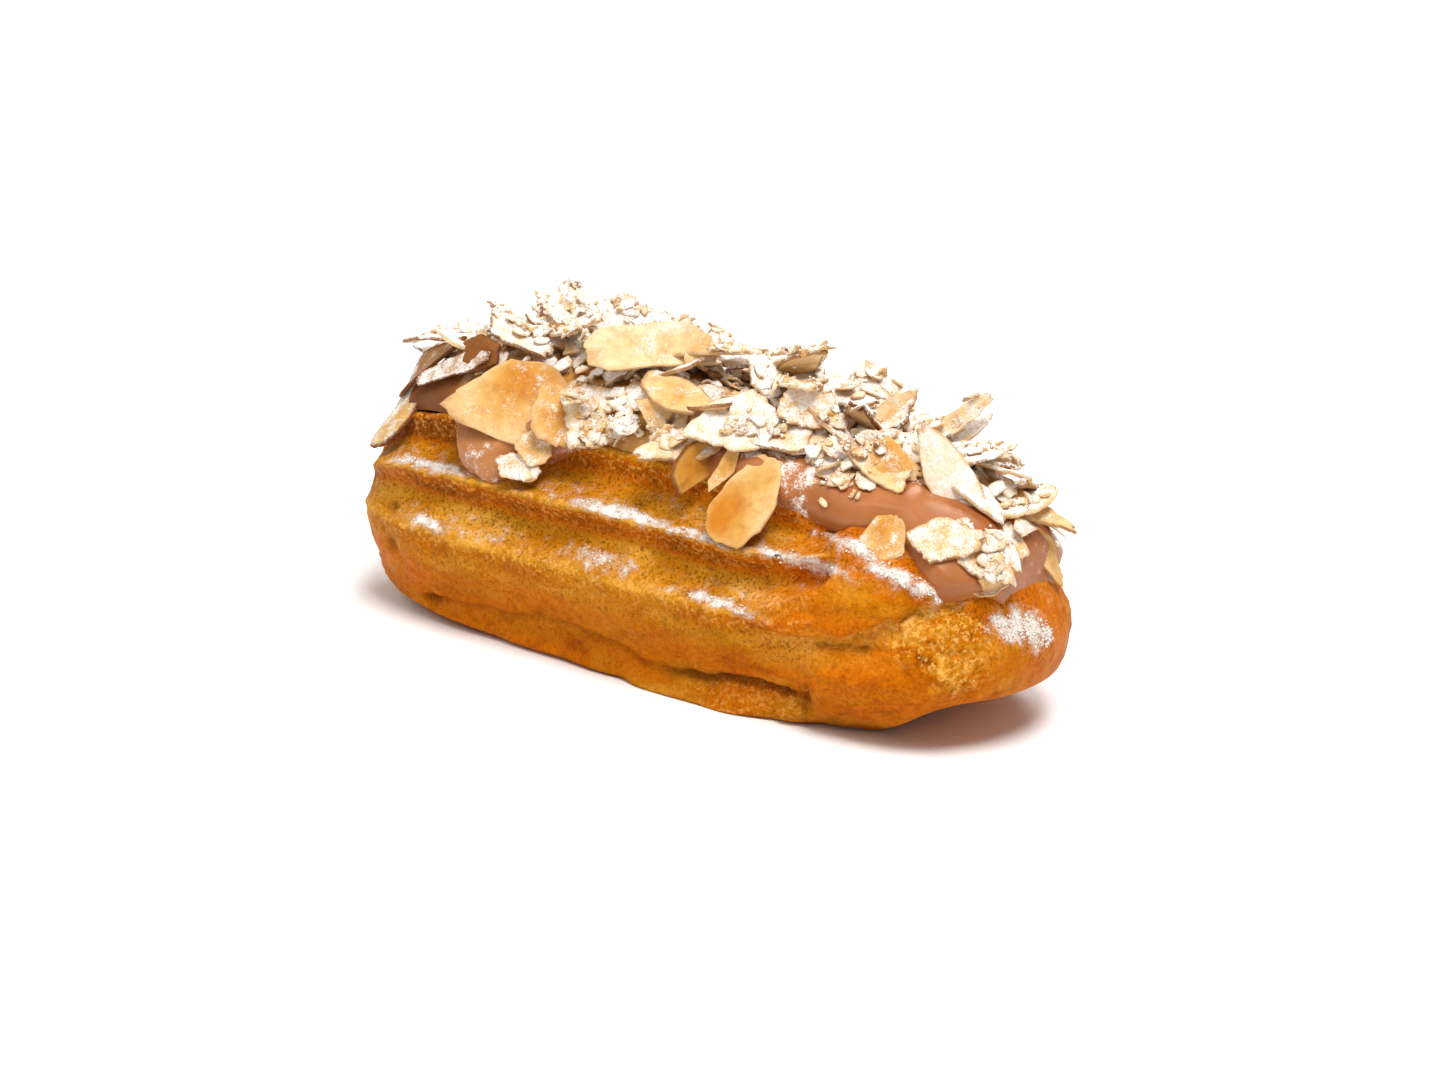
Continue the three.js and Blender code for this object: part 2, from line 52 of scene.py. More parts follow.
# The shell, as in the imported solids
LEFT_REACH = 66.5
RIGHT_REACH = 63
HALF_WIDTH = 24.5
SHELL_HEIGHT = 41
CENTRE_HEIGHT = 16
RIGHT_DROP = {"depth": 3.5, "start": 10}
BASE_DEPTH = 22
SECTION_POWER = 2.25
LEFT_BLUNTNESS = 6
RIGHT_BLUNTNESS = 6.5
# How the ends lift: height, start, end
LIFTS = [(3, -24, -66), (9, 41, 60)]
LUMP_HEIGHT = 0.6
# Waves of unevenness: along X, round the section, shift of the pattern, weight
UNEVENNESS = [(0.09, 2, 1, 0.38), (0.19, -3, 1.7, 0.38), (0.41, 5, 2.3, 0.24)]
LUMP_PATTERN = 1
RIDGE_PATTERN = 4
RIDGE_ANGLES = np.array([-37, 4, 28, 53, 79, 101, 127, 152, 176, 217, 323], float)
RIDGE_DEPTHS = np.array([2.2, 3.8, 4.2, 3, 1.5, 3, 4.2, 3.8, 2.2, 0], float)
RIDGE_SKEWS = np.array([0.5, 1.4, 1.4, 1.4, 1, 0.74, 0.74, 0.74, 2, 1], float)
RIDGE_NARROWS = np.array([1.7, 0.65, 0.65, 0.65, 1, 0.65, 0.65, 0.65, 1.7, 1], float)
RIDGE_SOFTNESS = 0.08
RIDGE_SPREAD = 0.2
RIDGE_FADE = (1, 5)
RIDGE_SWEEP = {"angle": 24, "start": 16, "end": 60}
RIDGE_END = (33, 38)
LIP_RIDGE = 1
LIP_RISE = [(20, 0), (27, 0.16), (33, 0.35), (37, 0.52), (40, 0.6)]
# Swellings: x, angle, height, half length, half spread
BULGES = [(43, -46, 0.8, 3.5, 9), (46, 25, 2.2, 8, 11), (56, 0, 1.8, 8, 12)]
BASE_FLARE = {
    "angle": -42,
    "spread": 13,
    "line": [(-45, 0), (-18, 1.5), (-4, 2.5), (2, 4.5), (17, 4.6), (29, 1.1), (36, -1.8), (44, -4), (52, -4),
             (63, 0)],
}
RIGHT_NOSE = {"length": 2.6, "start": 48, "height": 17, "spread": 7.5}

# The icing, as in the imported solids
ICING_THICKNESS = 2.6
ICING_ROUNDING = 3.5
ICING_LEFT = -60
ICING_RIGHT = 61
ICING_DIVE = 1.2
ICING_ROOT = 0.8
FRONT_EDGE = [(-60, 64), (-48, 64), (-41, 48), (-36, 32), (-31, 29), (-25, 44), (-14, 54), (20, 52), (36, 50),
              (44, 55), (54, 37), (61, 56)]
BACK_EDGE = [(-60, 54), (-48, 48), (-22, 36), (6, 44), (34, 33), (54, 32), (61, 52)]

# The almonds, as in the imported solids: place, facing, spin, size, kept, bow
FLAKE_THICKNESS = 1
TIP_SHARPNESS = 0.5
TIP_NARROWING = 0.86
PLACED_FLAKES = [
    ((-31.4, -16.9, 41.4), (-68, 38), 176, (24, 15.5), 1, -1),
    ((-9.3, -7.6, 53), (-60, 42), 188, (22, 8.4), 1, 0),
    ((-1, -4.5, 54.5), (-60, 30), 80, (9, 5), 0.7, 0),
    ((-45, -12.6, 43.6), (-106, 30), 30, (17, 6.6), 1, 0.5),
    ((-54, -8, 42), (-140, 40), 62, (19, 9), 1, -1),
    ((-40, -12, 47.4), (-95, 27), 18, (13, 7), 0.9, -1.5),
    ((-57.4, -11.2, 33.8), (-125, 35), 92, (15, 8), 0.9, 0.5),
    ((-13.5, -13.8, 41.6), (-66, 42), 20, (15, 11), 0.85, 0),
    ((2, -13, 47.5), (-75, 62), -27, (18, 10), 1, 0),
    ((-2.5, -15, 44.5), (-55, 20), -30, (9, 7), 0.8, 0),
    ((4, -16, 41.5), (-62, 58), 25, (18, 10), 1, 0.5),
    ((7.5, -17.5, 37.5), (-20, 10), 213, (12, 8), 1, 0),
    ((13, -16, 39), (-50, 20), 47, (9, 5), 1, 0),
    ((18.7, -17.9, 35.4), (-84, 40), 80, (19, 10.4), 1, 0),
    ((21, -10.5, 43.5), (-60, 65), 15, (17, 8), 1, -0.5),
    ((13, -12.5, 45), (-60, 50), 25, (20, 12), 1, 0),
    ((22, -6, 48.5), (-60, 40), -40, (14, 9), 1, 0),
    ((38, -8.5, 41.8), (-60, 55), -30, (15, 9), 1, 1.5),
    ((39.5, -7, 43.5), (-60, 35), -25, (11, 7), 0.9, -1.5),
    ((47.6, -4.3, 42.1), (-50, 20), 120, (18.5, 8), 1, 0),
    ((58.5, 6, 36), (-30, 70), -60, (17, 8), 1, -0.5),
    ((59.5, 6.5, 30), (-10, 25), -65, (18, 6), 1, 0),
    ((31, 4, 46.5), (-60, 10), 50, (13, 5), 1, 0),
    ((41.5, 6, 43.8), (-60, 46), 34, (17, 5), 1, 1.5),
    ((43.4, -16.6, 33.2), (-70, 44), 75, (13, 9), 0.85, 0),
    ((-23, -19.6, 35.4), (-64, 34), 65, (11, 6), 0.9, 0),
    ((-24.5, -21.6, 32), (-72, 34), 10, (9, 6), 0.9, 0),
    ((54, -11, 35), (-60, 42), 20, (9, 7), 0.8, 0),
    ((58.5, -9, 32.6), (-38, 34), -40, (9, 7), 0.8, 0),
    ((58.5, -2.5, 33.4), (-30, 45), 70, (9, 7), 0.8, 0),
    ((-20.5, -16.6, 41), (-60, 36), 100, (15, 9), 0.9, 0.5),
]
# Looks of the placed slices: how toasted, how brown their skin, how much sugar lies on them
PLACED_LOOKS = [
    (0.34, 0.15, 0.25), (0.15, 0.1, 0.36), (0.3, 0.2, 0.35), (0.1, 0.95, 1), (0.3, 0.97, 0.35),
    (0.85, 1, 0.05), (0.3, 0.9, 0.75), (0.1, 0.2, 1), (0.36, 0.5, 0.5), (0.3, 0.3, 0.6),
    (0.2, 0.3, 0.8), (0.6, 0.8, 0.1), (0.4, 0.4, 0.4), (0.42, 0.1, 0.06), (0.2, 0.3, 0.7),
    (0.1, 0.2, 1), (0.3, 0.3, 0.7), (0.25, 0.3, 0.5), (0.5, 0.2, 0.3), (0, 0.2, 1),
    (0.35, 0.3, 0.3), (0.4, 0.5, 0.2), (0.2, 0.2, 0.9), (0.2, 0.2, 0.9), (0.42, 0.3, 0.4),
    (0.3, 0.3, 0.8), (0.3, 0.2, 0.9), (0.35, 0.4, 0.9), (0.35, 0.4, 0.8), (0.4, 0.4, 0.7),
    (0.5, 0.3, 0.35),
]
# Straight broken sides of some of them: heading in the slice's own plane, and share of its reach left there
PLACED_BREAKS = {
    0: [(-33, 0.63), (69, 0.82), (145, 0.83), (180, 0.94)],
    1: [(90, 0.6), (180, 0.92), (270, 0.6), (0, 0.86), (220, 0.8)],
    13: [(0, 0.8), (180, 0.92)],
    19: [(0, 0.95)],
    24: [(20, 0.8), (75, 0.72), (140, 0.75), (215, 0.72), (300, 0.78)],
}
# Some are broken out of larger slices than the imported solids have: length and width before the breaks
PLACED_SIZES = {1: (24, 13.5), 6: (17, 9.5), 8: (19, 7)}
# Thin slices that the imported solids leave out, each with its look
LOOSE_FLAKES = [
    (((-25, 5, 52.2), (-70, 40), 10, (14, 9), 0.9, 0.5), (0.1, 0.2, 1.3)),
    (((-18.5, 6, 51.6), (-50, 50), -20, (13, 8), 0.85, -0.5), (0.1, 0.3, 1.3)),
    (((43.6, 6.5, 49), (-60, 20), 39, (14, 3), 1, 1), (0.15, 0.3, 0.6)),
    (((53.4, -13.4, 34.4), (-62, 48), 12, (13, 8), 0.95, 0.4), (0.3, 0.4, 0.85)),
    (((59, -9.8, 32), (-40, 38), -25, (11, 8), 0.9, 0.3), (0.3, 0.4, 0.75)),
    (((58.6, -9, 28.6), (-48, 38), 10, (10, 6.5), 0.85, 0.3), (0.3, 0.3, 0.8)),
]
# Toasted spots on some placed slices: place along and across as shares of the reach, size, strength
PLACED_SPOTS = {0: (-0.16, -0.55, 0.42, 0.55), 13: (-0.5, 0.5, 0.45, 0.95), 24: (0.2, 0.2, 0.5, 0.2)}
NO_SPOT = (0, 0, 1, 0)
# Placed and thin slices that lie open, with no bits on them
OPEN_SLICES = (0, 1, 3, 4, 5, 6, 8, 11, 13, 19, 24)
OPEN_LOOSE = (3,)
OPEN_FLAKES = [PLACED_FLAKES[k] for k in OPEN_SLICES] + [LOOSE_FLAKES[k][0] for k in OPEN_LOOSE]
HEAP_COUNT = 43
HEAP_HEIGHT = [(-62, 2), (-54, 6), (-46, 9), (-30, 9.2), (0, 9), (14, 7.5), (27, 4), (45, 4), (58, 2.5)]
HEAP_FRONT = [(-62, -11), (-40, -15), (0, -15), (14, -12), (25, -8), (45, -7), (62, -5)]
HEAP_BACK = 17
HEAP_ENDS = (-58, 58)
HEAP_TALL = {"share": 0.7, "end": 22}
HEAP_STRIDE = 0.618
HEAP_TRIES = 4
HEAP_ROUNDING = 0.45
HEAP_CORE = 0.4
HEAP_LENGTHS = (21, 13)
HEAP_SLIMNESS = (0.5, 0.62)
HEAP_TILTS = (6, 42)
HEAP_BOW = 1.4
HEAP_KEPT = (0.65, 1.2)
HEAP_SINK = {"least": 1, "tilted": 2.6}
HEAP_CELL = 1.5
HEAP_SEED = 4
FLAKE_RINGS = (0.25, 0.5, 0.75, 1)
FLAKE_BEARINGS = 24
DRAW_MULTIPLIER = 1664525
DRAW_INCREMENT = 1013904223
DRAW_SPAN = 2 ** 32

# Fine relief of the baked surface along lines of (x, angle): its size as (x, mm), and its widths above
# and below the line
LIP_CRACK = {
    "line": [(22.5, 0), (30, 2.6), (35.4, 5), (40, 9), (44.3, 14), (49.8, 22.7), (53.1, 34.3), (56, 40),
             (63, 43)],
    "size": [(20, 0), (27, 0.9), (38, 1.5), (47, 2), (53, 1.7), (57, 0.7), (61, 0)],
    "widths": (0.4, 4),
}
BASE_CRACK = {
    "line": [(-46, -31.5), (-38, -28), (-29, -27), (-20, -24), (-13, -23), (-4, -26), (3, -29), (12, -28),
             (21, -23.5), (33, -22.4)],
    "size": [(-48, 0), (-44, 0.9), (-38, 0.4), (-20, 0.5), (2, 0.7), (14, 1.5), (29, 1.5), (34, 0)],
    "widths": (0.5, 0.8),
}
THIN_CRACK = {
    "line": [(35, 4.2), (37.4, 4.7), (42.8, 6.6), (49, 11.6), (52, 16)],
    "size": [(34, 0), (38, 0.8), (46, 0.9), (51, 0)],
    "widths": (0.4, 0.6),
}
LOW_RIDGE = {
    "line": [(28, -12), (40, -7.5), (47, -4.4), (57, 1), (61.5, 12)],
    "size": [(28, 0), (40, 1), (50, 1.3), (56, 1), (60, 0)],
    "widths": (4.5, 4.5),
}
RIGHT_CREST = {
    "line": [(22, 52), (30, 50), (38, 42), (45, 38.3), (50, 38.4), (55, 37)],
    "size": [(20, 0), (30, 1.2), (44, 1.8), (52.5, 2.2), (55, 0)],
    "widths": (3, 1.8),
}
# Where the hollow in which the valley over the lowest crest ends deepens and closes
POCKET_SPAN = (17, 23, 34, 38.5)
# A crease that runs up from the base
CREASE = {"x": 33, "slant": 0.12, "width": 0.7, "depth": 1, "angles": (-27, -24, -16, -13)}
# Lower limits, as (x, angle), of the torn patch beside the lip and of the shaded undersides of the ridges
TORN_EDGE = [(46, 12), (52, 3), (58, -8)]
LOW_EDGE = [(-66, 4), (-20, 4), (16, 3)]
# Small hollows: x, angle, size, depth
DIMPLES = [(-52.6, 9.5, 1.3, 1), (-51.7, -8.8, 1.6, 0.8), (-43.5, -31, 1, 0.7), (33, -27, 1, 0.8)]

# Icing sugar on the baked crests: x, angle, half length, half spread, strength
SUGAR_SPOTS = [
    (-45, 32, 9, 4, 0.8), (-43.5, 7.5, 6, 3.2, 0.75), (-31, 8, 8, 2.4, 0.5), (-4, 31, 12, 3.2, 0.95),
    (12, 30.5, 10, 2.4, 0.75), (18, 31, 6, 2.6, 0.6), (-7, 11, 8, 5, 0.6), (17, 7.5, 10, 2.6, 0.72),
    (27, 32.5, 7, 2.8, 0.85), (35.5, 33.4, 5, 2.2, 0.7), (33, 47, 4, 3, 0.6), (41, 43, 6, 3.4, 0.75),
    (47.5, 39.5, 5, 3.6, 0.85), (52, 38, 3, 3.4, 0.8),
    (-44, 150, 10, 4.5, 0.75), (-16, 149, 9, 3.6, 0.65), (8, 150, 12, 4, 0.85), (38, 146, 9, 4, 0.75),
    (-30, 173, 10, 3.4, 0.6), (2, 174, 9, 3, 0.55), (26, 170, 10, 3.6, 0.7),
]
SUGAR_BALLS = [((61.6, -9, 21), 2.8, 0.8), ((62.8, -6.4, 20.6), 3.2, 0.85), ((63.8, -3.6, 19.6), 3.2, 0.85),
               ((64.4, -0.6, 18.4), 2.8, 0.7), ((-64, 4, 24), 3.6, 0.6)]

# Whole-number hash behind the noise, on words of 32 bits
HASH_STEPS = (374761393, 668265263, 1440662683)
HASH_SEED = 1274126177
HASH_ROUNDS = ((13, 1274126177), (15, 2246822519))
HASH_WORD = 0xFFFFFFFF
OCTAVE_SHIFT = 17.3
STATION_BUNCHING = 1.6
TINY = 1e-12


def ease(start, end, value):
    t = np.clip((value - start) / (end - start), 0, 1)
    return t * t * (3 - 2 * t)


def band(limits, value):
    """1 between the inner two of four limits, fading to 0 at the outer two."""
    return ease(*limits[:2], value) * (1 - ease(*limits[2:], value))


def bell(away, width):
    return np.exp(-(away / width) ** 2)


def mix(start, end, share):
    return start + (end - start) * share


def arc(degrees):
    """Length round the shell at its widest."""
    return np.radians(degrees) * HALF_WIDTH


def grid(rows, columns):
    return np.meshgrid(rows, columns, indexing="ij")


def along_line(points, x):
    xs, values = np.array(points, float).T
    k = np.clip(np.searchsorted(xs, x, side="right"), 1, len(xs) - 1)
    return mix(values[k - 1], values[k], ease(xs[k - 1], xs[k], x))


def lattice(cell, seed):
    """Even values from -1 to 1 at whole-number places."""
    h = (sum(cell[..., n] * step for n, step in enumerate(HASH_STEPS)) + seed * HASH_SEED) & HASH_WORD
    for shift, factor in HASH_ROUNDS:
        h = ((h ^ (h >> shift)) * factor) & HASH_WORD
    return ((h ^ (h >> 16)) & 0xFFFFFF) / 0x7FFFFF - 1


def lumps(points, size, seed, octaves=1):
    """Smooth seeded noise of about that lump size, from -1 to 1."""
    total = np.zeros(points.shape[:-1])
    weight, weights = 1.0, 0.0
    for octave in range(octaves):
        place = points / size + OCTAVE_SHIFT * octave
        cell = np.floor(place).astype(np.int64)
        f = place - cell
        f = f * f * f * (f * (f * 6 - 15) + 10)
        value = 0
        for corner in np.ndindex(2, 2, 2):
            step = np.array(corner)
            share = np.prod(np.where(step, f, 1 - f), axis=-1)
            value = value + share * lattice(cell + step, seed + octave)
        total += weight * value
        weights += weight
        weight /= 2
        size /= 2
    return total / weights


def unevenness(x, angle, pattern):
    return sum(w * np.sin(a * x + r * angle + s * pattern) for a, r, s, w in UNEVENNESS)


def end_share(x):
    left = np.abs(x / LEFT_REACH) ** LEFT_BLUNTNESS
    right = np.abs(x / RIGHT_REACH) ** RIGHT_BLUNTNESS
    return np.sqrt(np.maximum(0, 1 - np.where(x < 0, left, right)))


def centre_height(x):
    return CENTRE_HEIGHT - RIGHT_DROP["depth"] * ease(RIGHT_DROP["start"], RIGHT_REACH, x)


def base_height(x):
    return sum(height * ease(start, end, x) for height, start, end in LIFTS)


def section_reach(angle):
    upright = np.where(np.sin(angle) > 0, SHELL_HEIGHT - CENTRE_HEIGHT, BASE_DEPTH)
    across = np.abs(np.cos(angle) / HALF_WIDTH) ** SECTION_POWER
    above = np.abs(np.sin(angle) / upright) ** SECTION_POWER
    return (across + above) ** (-1 / SECTION_POWER)


def swollen(angle, middle, spread):
    turned = angle - math.radians(middle)
    return np.where(np.cos(turned) > 0, bell(np.sin(turned), math.radians(spread)), 0)


def bulge_at(x, angle):
    total = LUMP_HEIGHT * unevenness(x, angle, LUMP_PATTERN)
    for place, middle, height, length, spread in BULGES:
        total = total + height * bell(x - place, length) * swollen(angle, middle, spread)
    flare = swollen(angle, BASE_FLARE["angle"], BASE_FLARE["spread"])
    return total + along_line(BASE_FLARE["line"], x) * flare


def icing_edges(x):
    return np.radians(along_line(FRONT_EDGE, x)), np.pi - np.radians(along_line(BACK_EDGE, x))


def icing_inset(x, angle):
    front, back = icing_edges(x)
    across = np.minimum(angle - front, back - angle) * HALF_WIDTH
    return np.minimum.reduce([across, x - ICING_LEFT, ICING_RIGHT - x])


def shell_ray(x, turn):
    k = np.floor(turn).astype(int)
    share = turn - k
    drawn = np.radians(mix(RIDGE_ANGLES[k], RIDGE_ANGLES[k + 1], share))
    climb = math.radians(RIDGE_SWEEP["angle"]) * ease(RIDGE_SWEEP["start"], RIDGE_SWEEP["end"], x)
    angle = drawn + climb * np.cos(drawn)
    lip = np.where(k == LIP_RIDGE, along_line(LIP_RISE, x), 0)
    within = np.clip((share - lip) / (1 - lip), 0, 1)
    valley = np.sin(np.pi * within ** RIDGE_SKEWS[k]) ** RIDGE_NARROWS[k]
    softened = np.hypot(valley, RIDGE_SOFTNESS) - RIDGE_SOFTNESS
    bare = (1 - ease(*RIDGE_FADE, icing_inset(x, angle))) * (1 - ease(*RIDGE_END, x))
    varied = 1 + RIDGE_SPREAD * unevenness(x, drawn, RIDGE_PATTERN)
    reach = section_reach(angle) + bulge_at(x, angle)
    reach = reach - RIDGE_DEPTHS[k] * varied * softened * bare * end_share(x)
    return angle, reach * end_share(x), share, lip


def nose_at(x, z):
    """How far the +X end swells outward under the icing."""
    swell = RIGHT_NOSE["length"] * ease(RIGHT_NOSE["start"], RIGHT_REACH, x)
    return swell * bell(z - RIGHT_NOSE["height"], RIGHT_NOSE["spread"])


def on_section(x, angle, reach):
    return np.stack([x, -np.cos(angle) * reach, centre_height(x) + np.sin(angle) * reach], -1)


def heap_rise(x, y):
    front = along_line(HEAP_FRONT, x)
    share = np.clip((y - front) / (HEAP_BACK - front), 0, 1)
    return along_line(HEAP_HEIGHT, x) * (4 * share * (1 - share)) ** HEAP_ROUNDING


def icing_top(x, y):
    share = np.maximum(end_share(x), TINY)
    across = np.abs(y) / (HALF_WIDTH * share)
    rise = np.maximum(0, 1 - np.minimum(across, 1) ** SECTION_POWER) ** (1 / SECTION_POWER)
    top = centre_height(x) + (SHELL_HEIGHT - CENTRE_HEIGHT) * share * rise + ICING_THICKNESS
    return np.where(across < 1, top, 0)


def bunched(count):
    v = 2 * np.arange(1, count) / count - 1
    return np.sign(v) * (1 - (1 - np.abs(v)) ** STATION_BUNCHING)


def outward(points, middle):
    """Directions square to a grid of points that closes round its second axis, away from a middle line."""
    along = np.gradient(points, axis=0)
    around = np.roll(points, -1, axis=1) - np.roll(points, 1, axis=1)
    normal = np.cross(along, around)
    normal /= np.linalg.norm(normal, axis=-1, keepdims=True) + TINY
    return normal * np.sign(np.sum(normal * (points - middle), -1, keepdims=True))


def ringed_faces(rows, columns):
    """Faces of a tube of rings with a point at each end, which come after the rings' points."""
    row, column = grid(np.arange(rows - 1), np.arange(columns))
    here, beside = row * columns + column, row * columns + (column + 1) % columns
    faces = np.stack([here, here + columns, beside + columns, beside], -1).reshape(-1, 4).tolist()
    first, last = rows * columns, rows * columns + 1
    end = (rows - 1) * columns
    for j in range(columns):
        k = (j + 1) % columns
        faces += [[first, j, k], [last, end + k, end + j]]
    return faces


def linked(name, data):
    made = bpy.data.objects.new(name, data)
    bpy.context.scene.collection.objects.link(made)
    return made


def piece(name, points, faces, material, layers=None):
    """A mesh on the root body, with a value or a colour at each point for every named layer."""
    mesh = bpy.data.meshes.new(name)
    mesh.from_pydata((np.asarray(points) * METRES).tolist(), [], faces)
    for layer, values in (layers or {}).items():
        kind, key = ("FLOAT_COLOR", "color") if np.ndim(values) == 2 else ("FLOAT", "value")
        attribute = mesh.attributes.new(layer, kind, "POINT")
        attribute.data.foreach_set(key, np.asarray(values, np.float32).ravel())
    mesh.polygons.foreach_set("use_smooth", [True] * len(mesh.polygons))
    mesh.materials.append(material)
    made = linked(name, mesh)
    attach(made, "root")
    return made


# Materials, with colours as 0 to 255 in sRGB

NOISE_MIDDLE = 0.5
# The sugar's grains and patches, as noise size, detail and roughness, and where it thins out to nothing
DUST_GRAINS = (0.36, 4, 0.75)
DUST_PATCHES = (2.4, 3)
PATCH_STRENGTH = 1.7
DUST_FADE = (0.02, 0.25)
SUGAR_WHITE = (244, 239, 232)
SUGAR_SHADE = (218, 201, 186)
SUGAR_HAZE = (230, 190, 162)
GRAIN_SHADE = (224, 210, 194)
# From pale to dark, with the two ends first
CRUST_RAMP = [
    (0, (242, 190, 104)), (1, (84, 40, 6)), (0.22, (216, 152, 52)), (0.42, (190, 122, 20)),
    (0.58, (182, 106, 6)), (0.72, (174, 88, 2)), (0.86, (132, 64, 4)),
]
CRUST_ORANGES = ((222, 122, 12), (190, 86, 2))
CRUST_FLECK = (238, 178, 88)
CRUST_GRIT = (104, 58, 8)
# Brown of the painted shade in cracks, dents and pits
CRUST_RECESS_SHADE = (74, 34, 10)
CRUST_SHEEN = (1, 0.55, 0.12, 1)
ICING_TONES = ((172, 106, 58), (156, 90, 44))
ICING_THIN = (190, 130, 78)
ICING_SHADED = (120, 64, 30)
ICING_SHEEN = (1, 0.8, 0.65, 1)
ALMOND_FIBRE = (214, 158, 88)
ALMOND_BLOTCH = (214, 150, 70)
ALMOND_GLOW = (1, 0.85, 0.6)
FLOOR_TONES = ((246, 245, 243), (240, 239, 237))


def linear(colour):
    c = np.array(colour, float) / 255
    return np.where(c <= 0.04045, c / 12.92, ((c + 0.055) / 1.055) ** 2.4)


class Finish:
    """A node material, put together one node at a time."""

    def __init__(self, name):
        self.material = bpy.data.materials.new(name)
        self.material.use_nodes = True
        self.tree = self.material.node_tree
        self.shader = self.tree.nodes["Principled BSDF"]
        self.place = self.add("TexCoord").outputs["Object"]

    def add(self, kind, inputs=None, **settings):
        made = self.tree.nodes.new("ShaderNode" + kind)
        for key, value in settings.items():
            setattr(made, key, value)
        self.put(made, inputs or {})
        return made

    def put(self, node, inputs):
        for key, value in inputs.items():
            if isinstance(value, bpy.types.NodeSocket):
                self.tree.links.new(value, node.inputs[key])
            else:
                node.inputs[key].default_value = value

    def noise(self, size_mm, detail=3, roughness=0.55):
        scale = 1 / (size_mm * METRES)
        inputs = {"Vector": self.place, "Scale": scale, "Detail": detail, "Roughness": roughness}
        return self.add("TexNoise", inputs).outputs["Fac"]

    def attribute(self, name, output="Fac"):
        return self.add("Attribute", attribute_name=name).outputs[output]

    def sum(self, first, second, operation="ADD"):
        return self.add("Math", {0: first, 1: second}, operation=operation).outputs[0]

    def times(self, first, second):
        return self.sum(first, second, "MULTIPLY")

    def swing(self, noise, strength):
        """Noise about its middle, at that strength."""
        return self.times(self.sum(noise, -NOISE_MIDDLE), strength)

    def step(self, value, start, end, low=0, high=1):
        inputs = {"Value": value, "From Min": start, "From Max": end, "To Min": low, "To Max": high}
        return self.add("MapRange", inputs, interpolation_type="SMOOTHSTEP").outputs["Result"]

    def blend(self, share, first, second, kind="MIX"):
        values = [(*linear(v), 1) if isinstance(v, tuple) else v for v in (share, first, second)]
        return self.add("Mix", dict(zip((0, 6, 7), values)), data_type="RGBA", blend_type=kind).outputs[2]

    def dusted(self, start, end, speckle=1.3):
        """Cover of icing sugar, broken up into grains and patches."""
        grains = self.swing(self.noise(*DUST_GRAINS), speckle)
        patches = self.swing(self.noise(*DUST_PATCHES), PATCH_STRENGTH)
        lying = self.attribute("sugar")
        dusting = self.sum(self.sum(grains, patches), lying)
        return self.times(self.step(dusting, start, end), self.step(lying, *DUST_FADE))

    def ramp(self, value, stops):
        made = self.add("ValToRGB", {"Fac": value})
        elements = made.color_ramp.elements
        for index, (place, colour) in enumerate(stops):
            element = elements[index] if index < 2 else elements.new(place)
            element.position = place
            element.color = (*linear(colour), 1)
        return made.outputs["Color"]

    def finish(self, colour, roughness, bump=None, strength=0.3, depth_mm=0.3, **sockets):
        inputs = {key.replace("_", " "): value for key, value in sockets.items()}
        inputs |= {"Base Color": colour, "Roughness": roughness}
        if bump is not None:
            heights = {"Height": bump, "Strength": strength, "Distance": depth_mm * METRES}
            inputs["Normal"] = self.add("Bump", heights).outputs["Normal"]
        self.put(self.shader, inputs)
        return self.material


def choux_finish():
    f = Finish("baked_choux")
    grain = f.noise(2.2, 6, 0.65)
    fine = f.noise(0.8, 5, 0.75)
    shift = f.sum(f.swing(grain, 0.36), f.swing(fine, 0.5))
    # The ramp reads the bake together with its painted shade and painted light
    crust = f.ramp(f.sum(f.attribute("bake_and_painted_light"), shift), CRUST_RAMP)
    # The orange layer, partly painted light at the +X end and painted shade under the crests
    crust = f.blend(f.attribute("orange_and_painted_light"), crust, f.blend(f.step(shift, -0.16, 0.16), *CRUST_ORANGES))
    fleck = f.times(f.step(f.noise(0.9, 4, 0.7), 0.5, 0.6, 0, 0.75), f.attribute("crest"))
    crust = f.blend(fleck, crust, CRUST_FLECK)
    grit = f.step(f.noise(0.5, 3, 0.7), 0.46, 0.36)
    crust = f.blend(f.times(grit, f.step(f.attribute("hollow"), 0, 1, 0.2, 0.7)), crust, CRUST_GRIT)
    # Painted shade darkens the cracks, the crease, the dents and the pits
    crust = f.blend(f.attribute("recess_shade"), crust, CRUST_RECESS_SHADE)
    crust = f.blend(f.times(f.dusted(0.1, 0.6), 0.3), crust, SUGAR_HAZE)
    sugar = f.times(f.dusted(0.3, 0.85), 0.94)
    colour = f.blend(sugar, crust, SUGAR_WHITE)
    roughness = f.sum(f.step(grain, 0.3, 0.7, 0.4, 0.58), f.times(sugar, 0.4))
    bump = f.sum(f.sum(fine, f.times(grit, -0.4)), f.times(sugar, 0.6))
    return f.finish(colour, roughness, bump, strength=0.8, Specular_IOR_Level=0.08, Specular_Tint=CRUST_SHEEN)


def icing_finish():
    f = Finish("milk_icing")
    cloud = f.noise(9)
    colour = f.blend(f.step(cloud, 0.35, 0.65), *ICING_TONES)
    colour = f.blend(f.attribute("thin"), colour, ICING_THIN)
    colour = f.blend(f.attribute("shaded"), colour, ICING_SHADED)
    sugar = f.dusted(0.45, 0.85)
    colour = f.blend(sugar, colour, SUGAR_WHITE)
    roughness = f.sum(f.step(cloud, 0.3, 0.7, 0.26, 0.36), f.times(sugar, 0.5))
    return f.finish(colour, roughness, f.noise(3), strength=0.12, Specular_IOR_Level=0.5,
                    Specular_Tint=ICING_SHEEN)


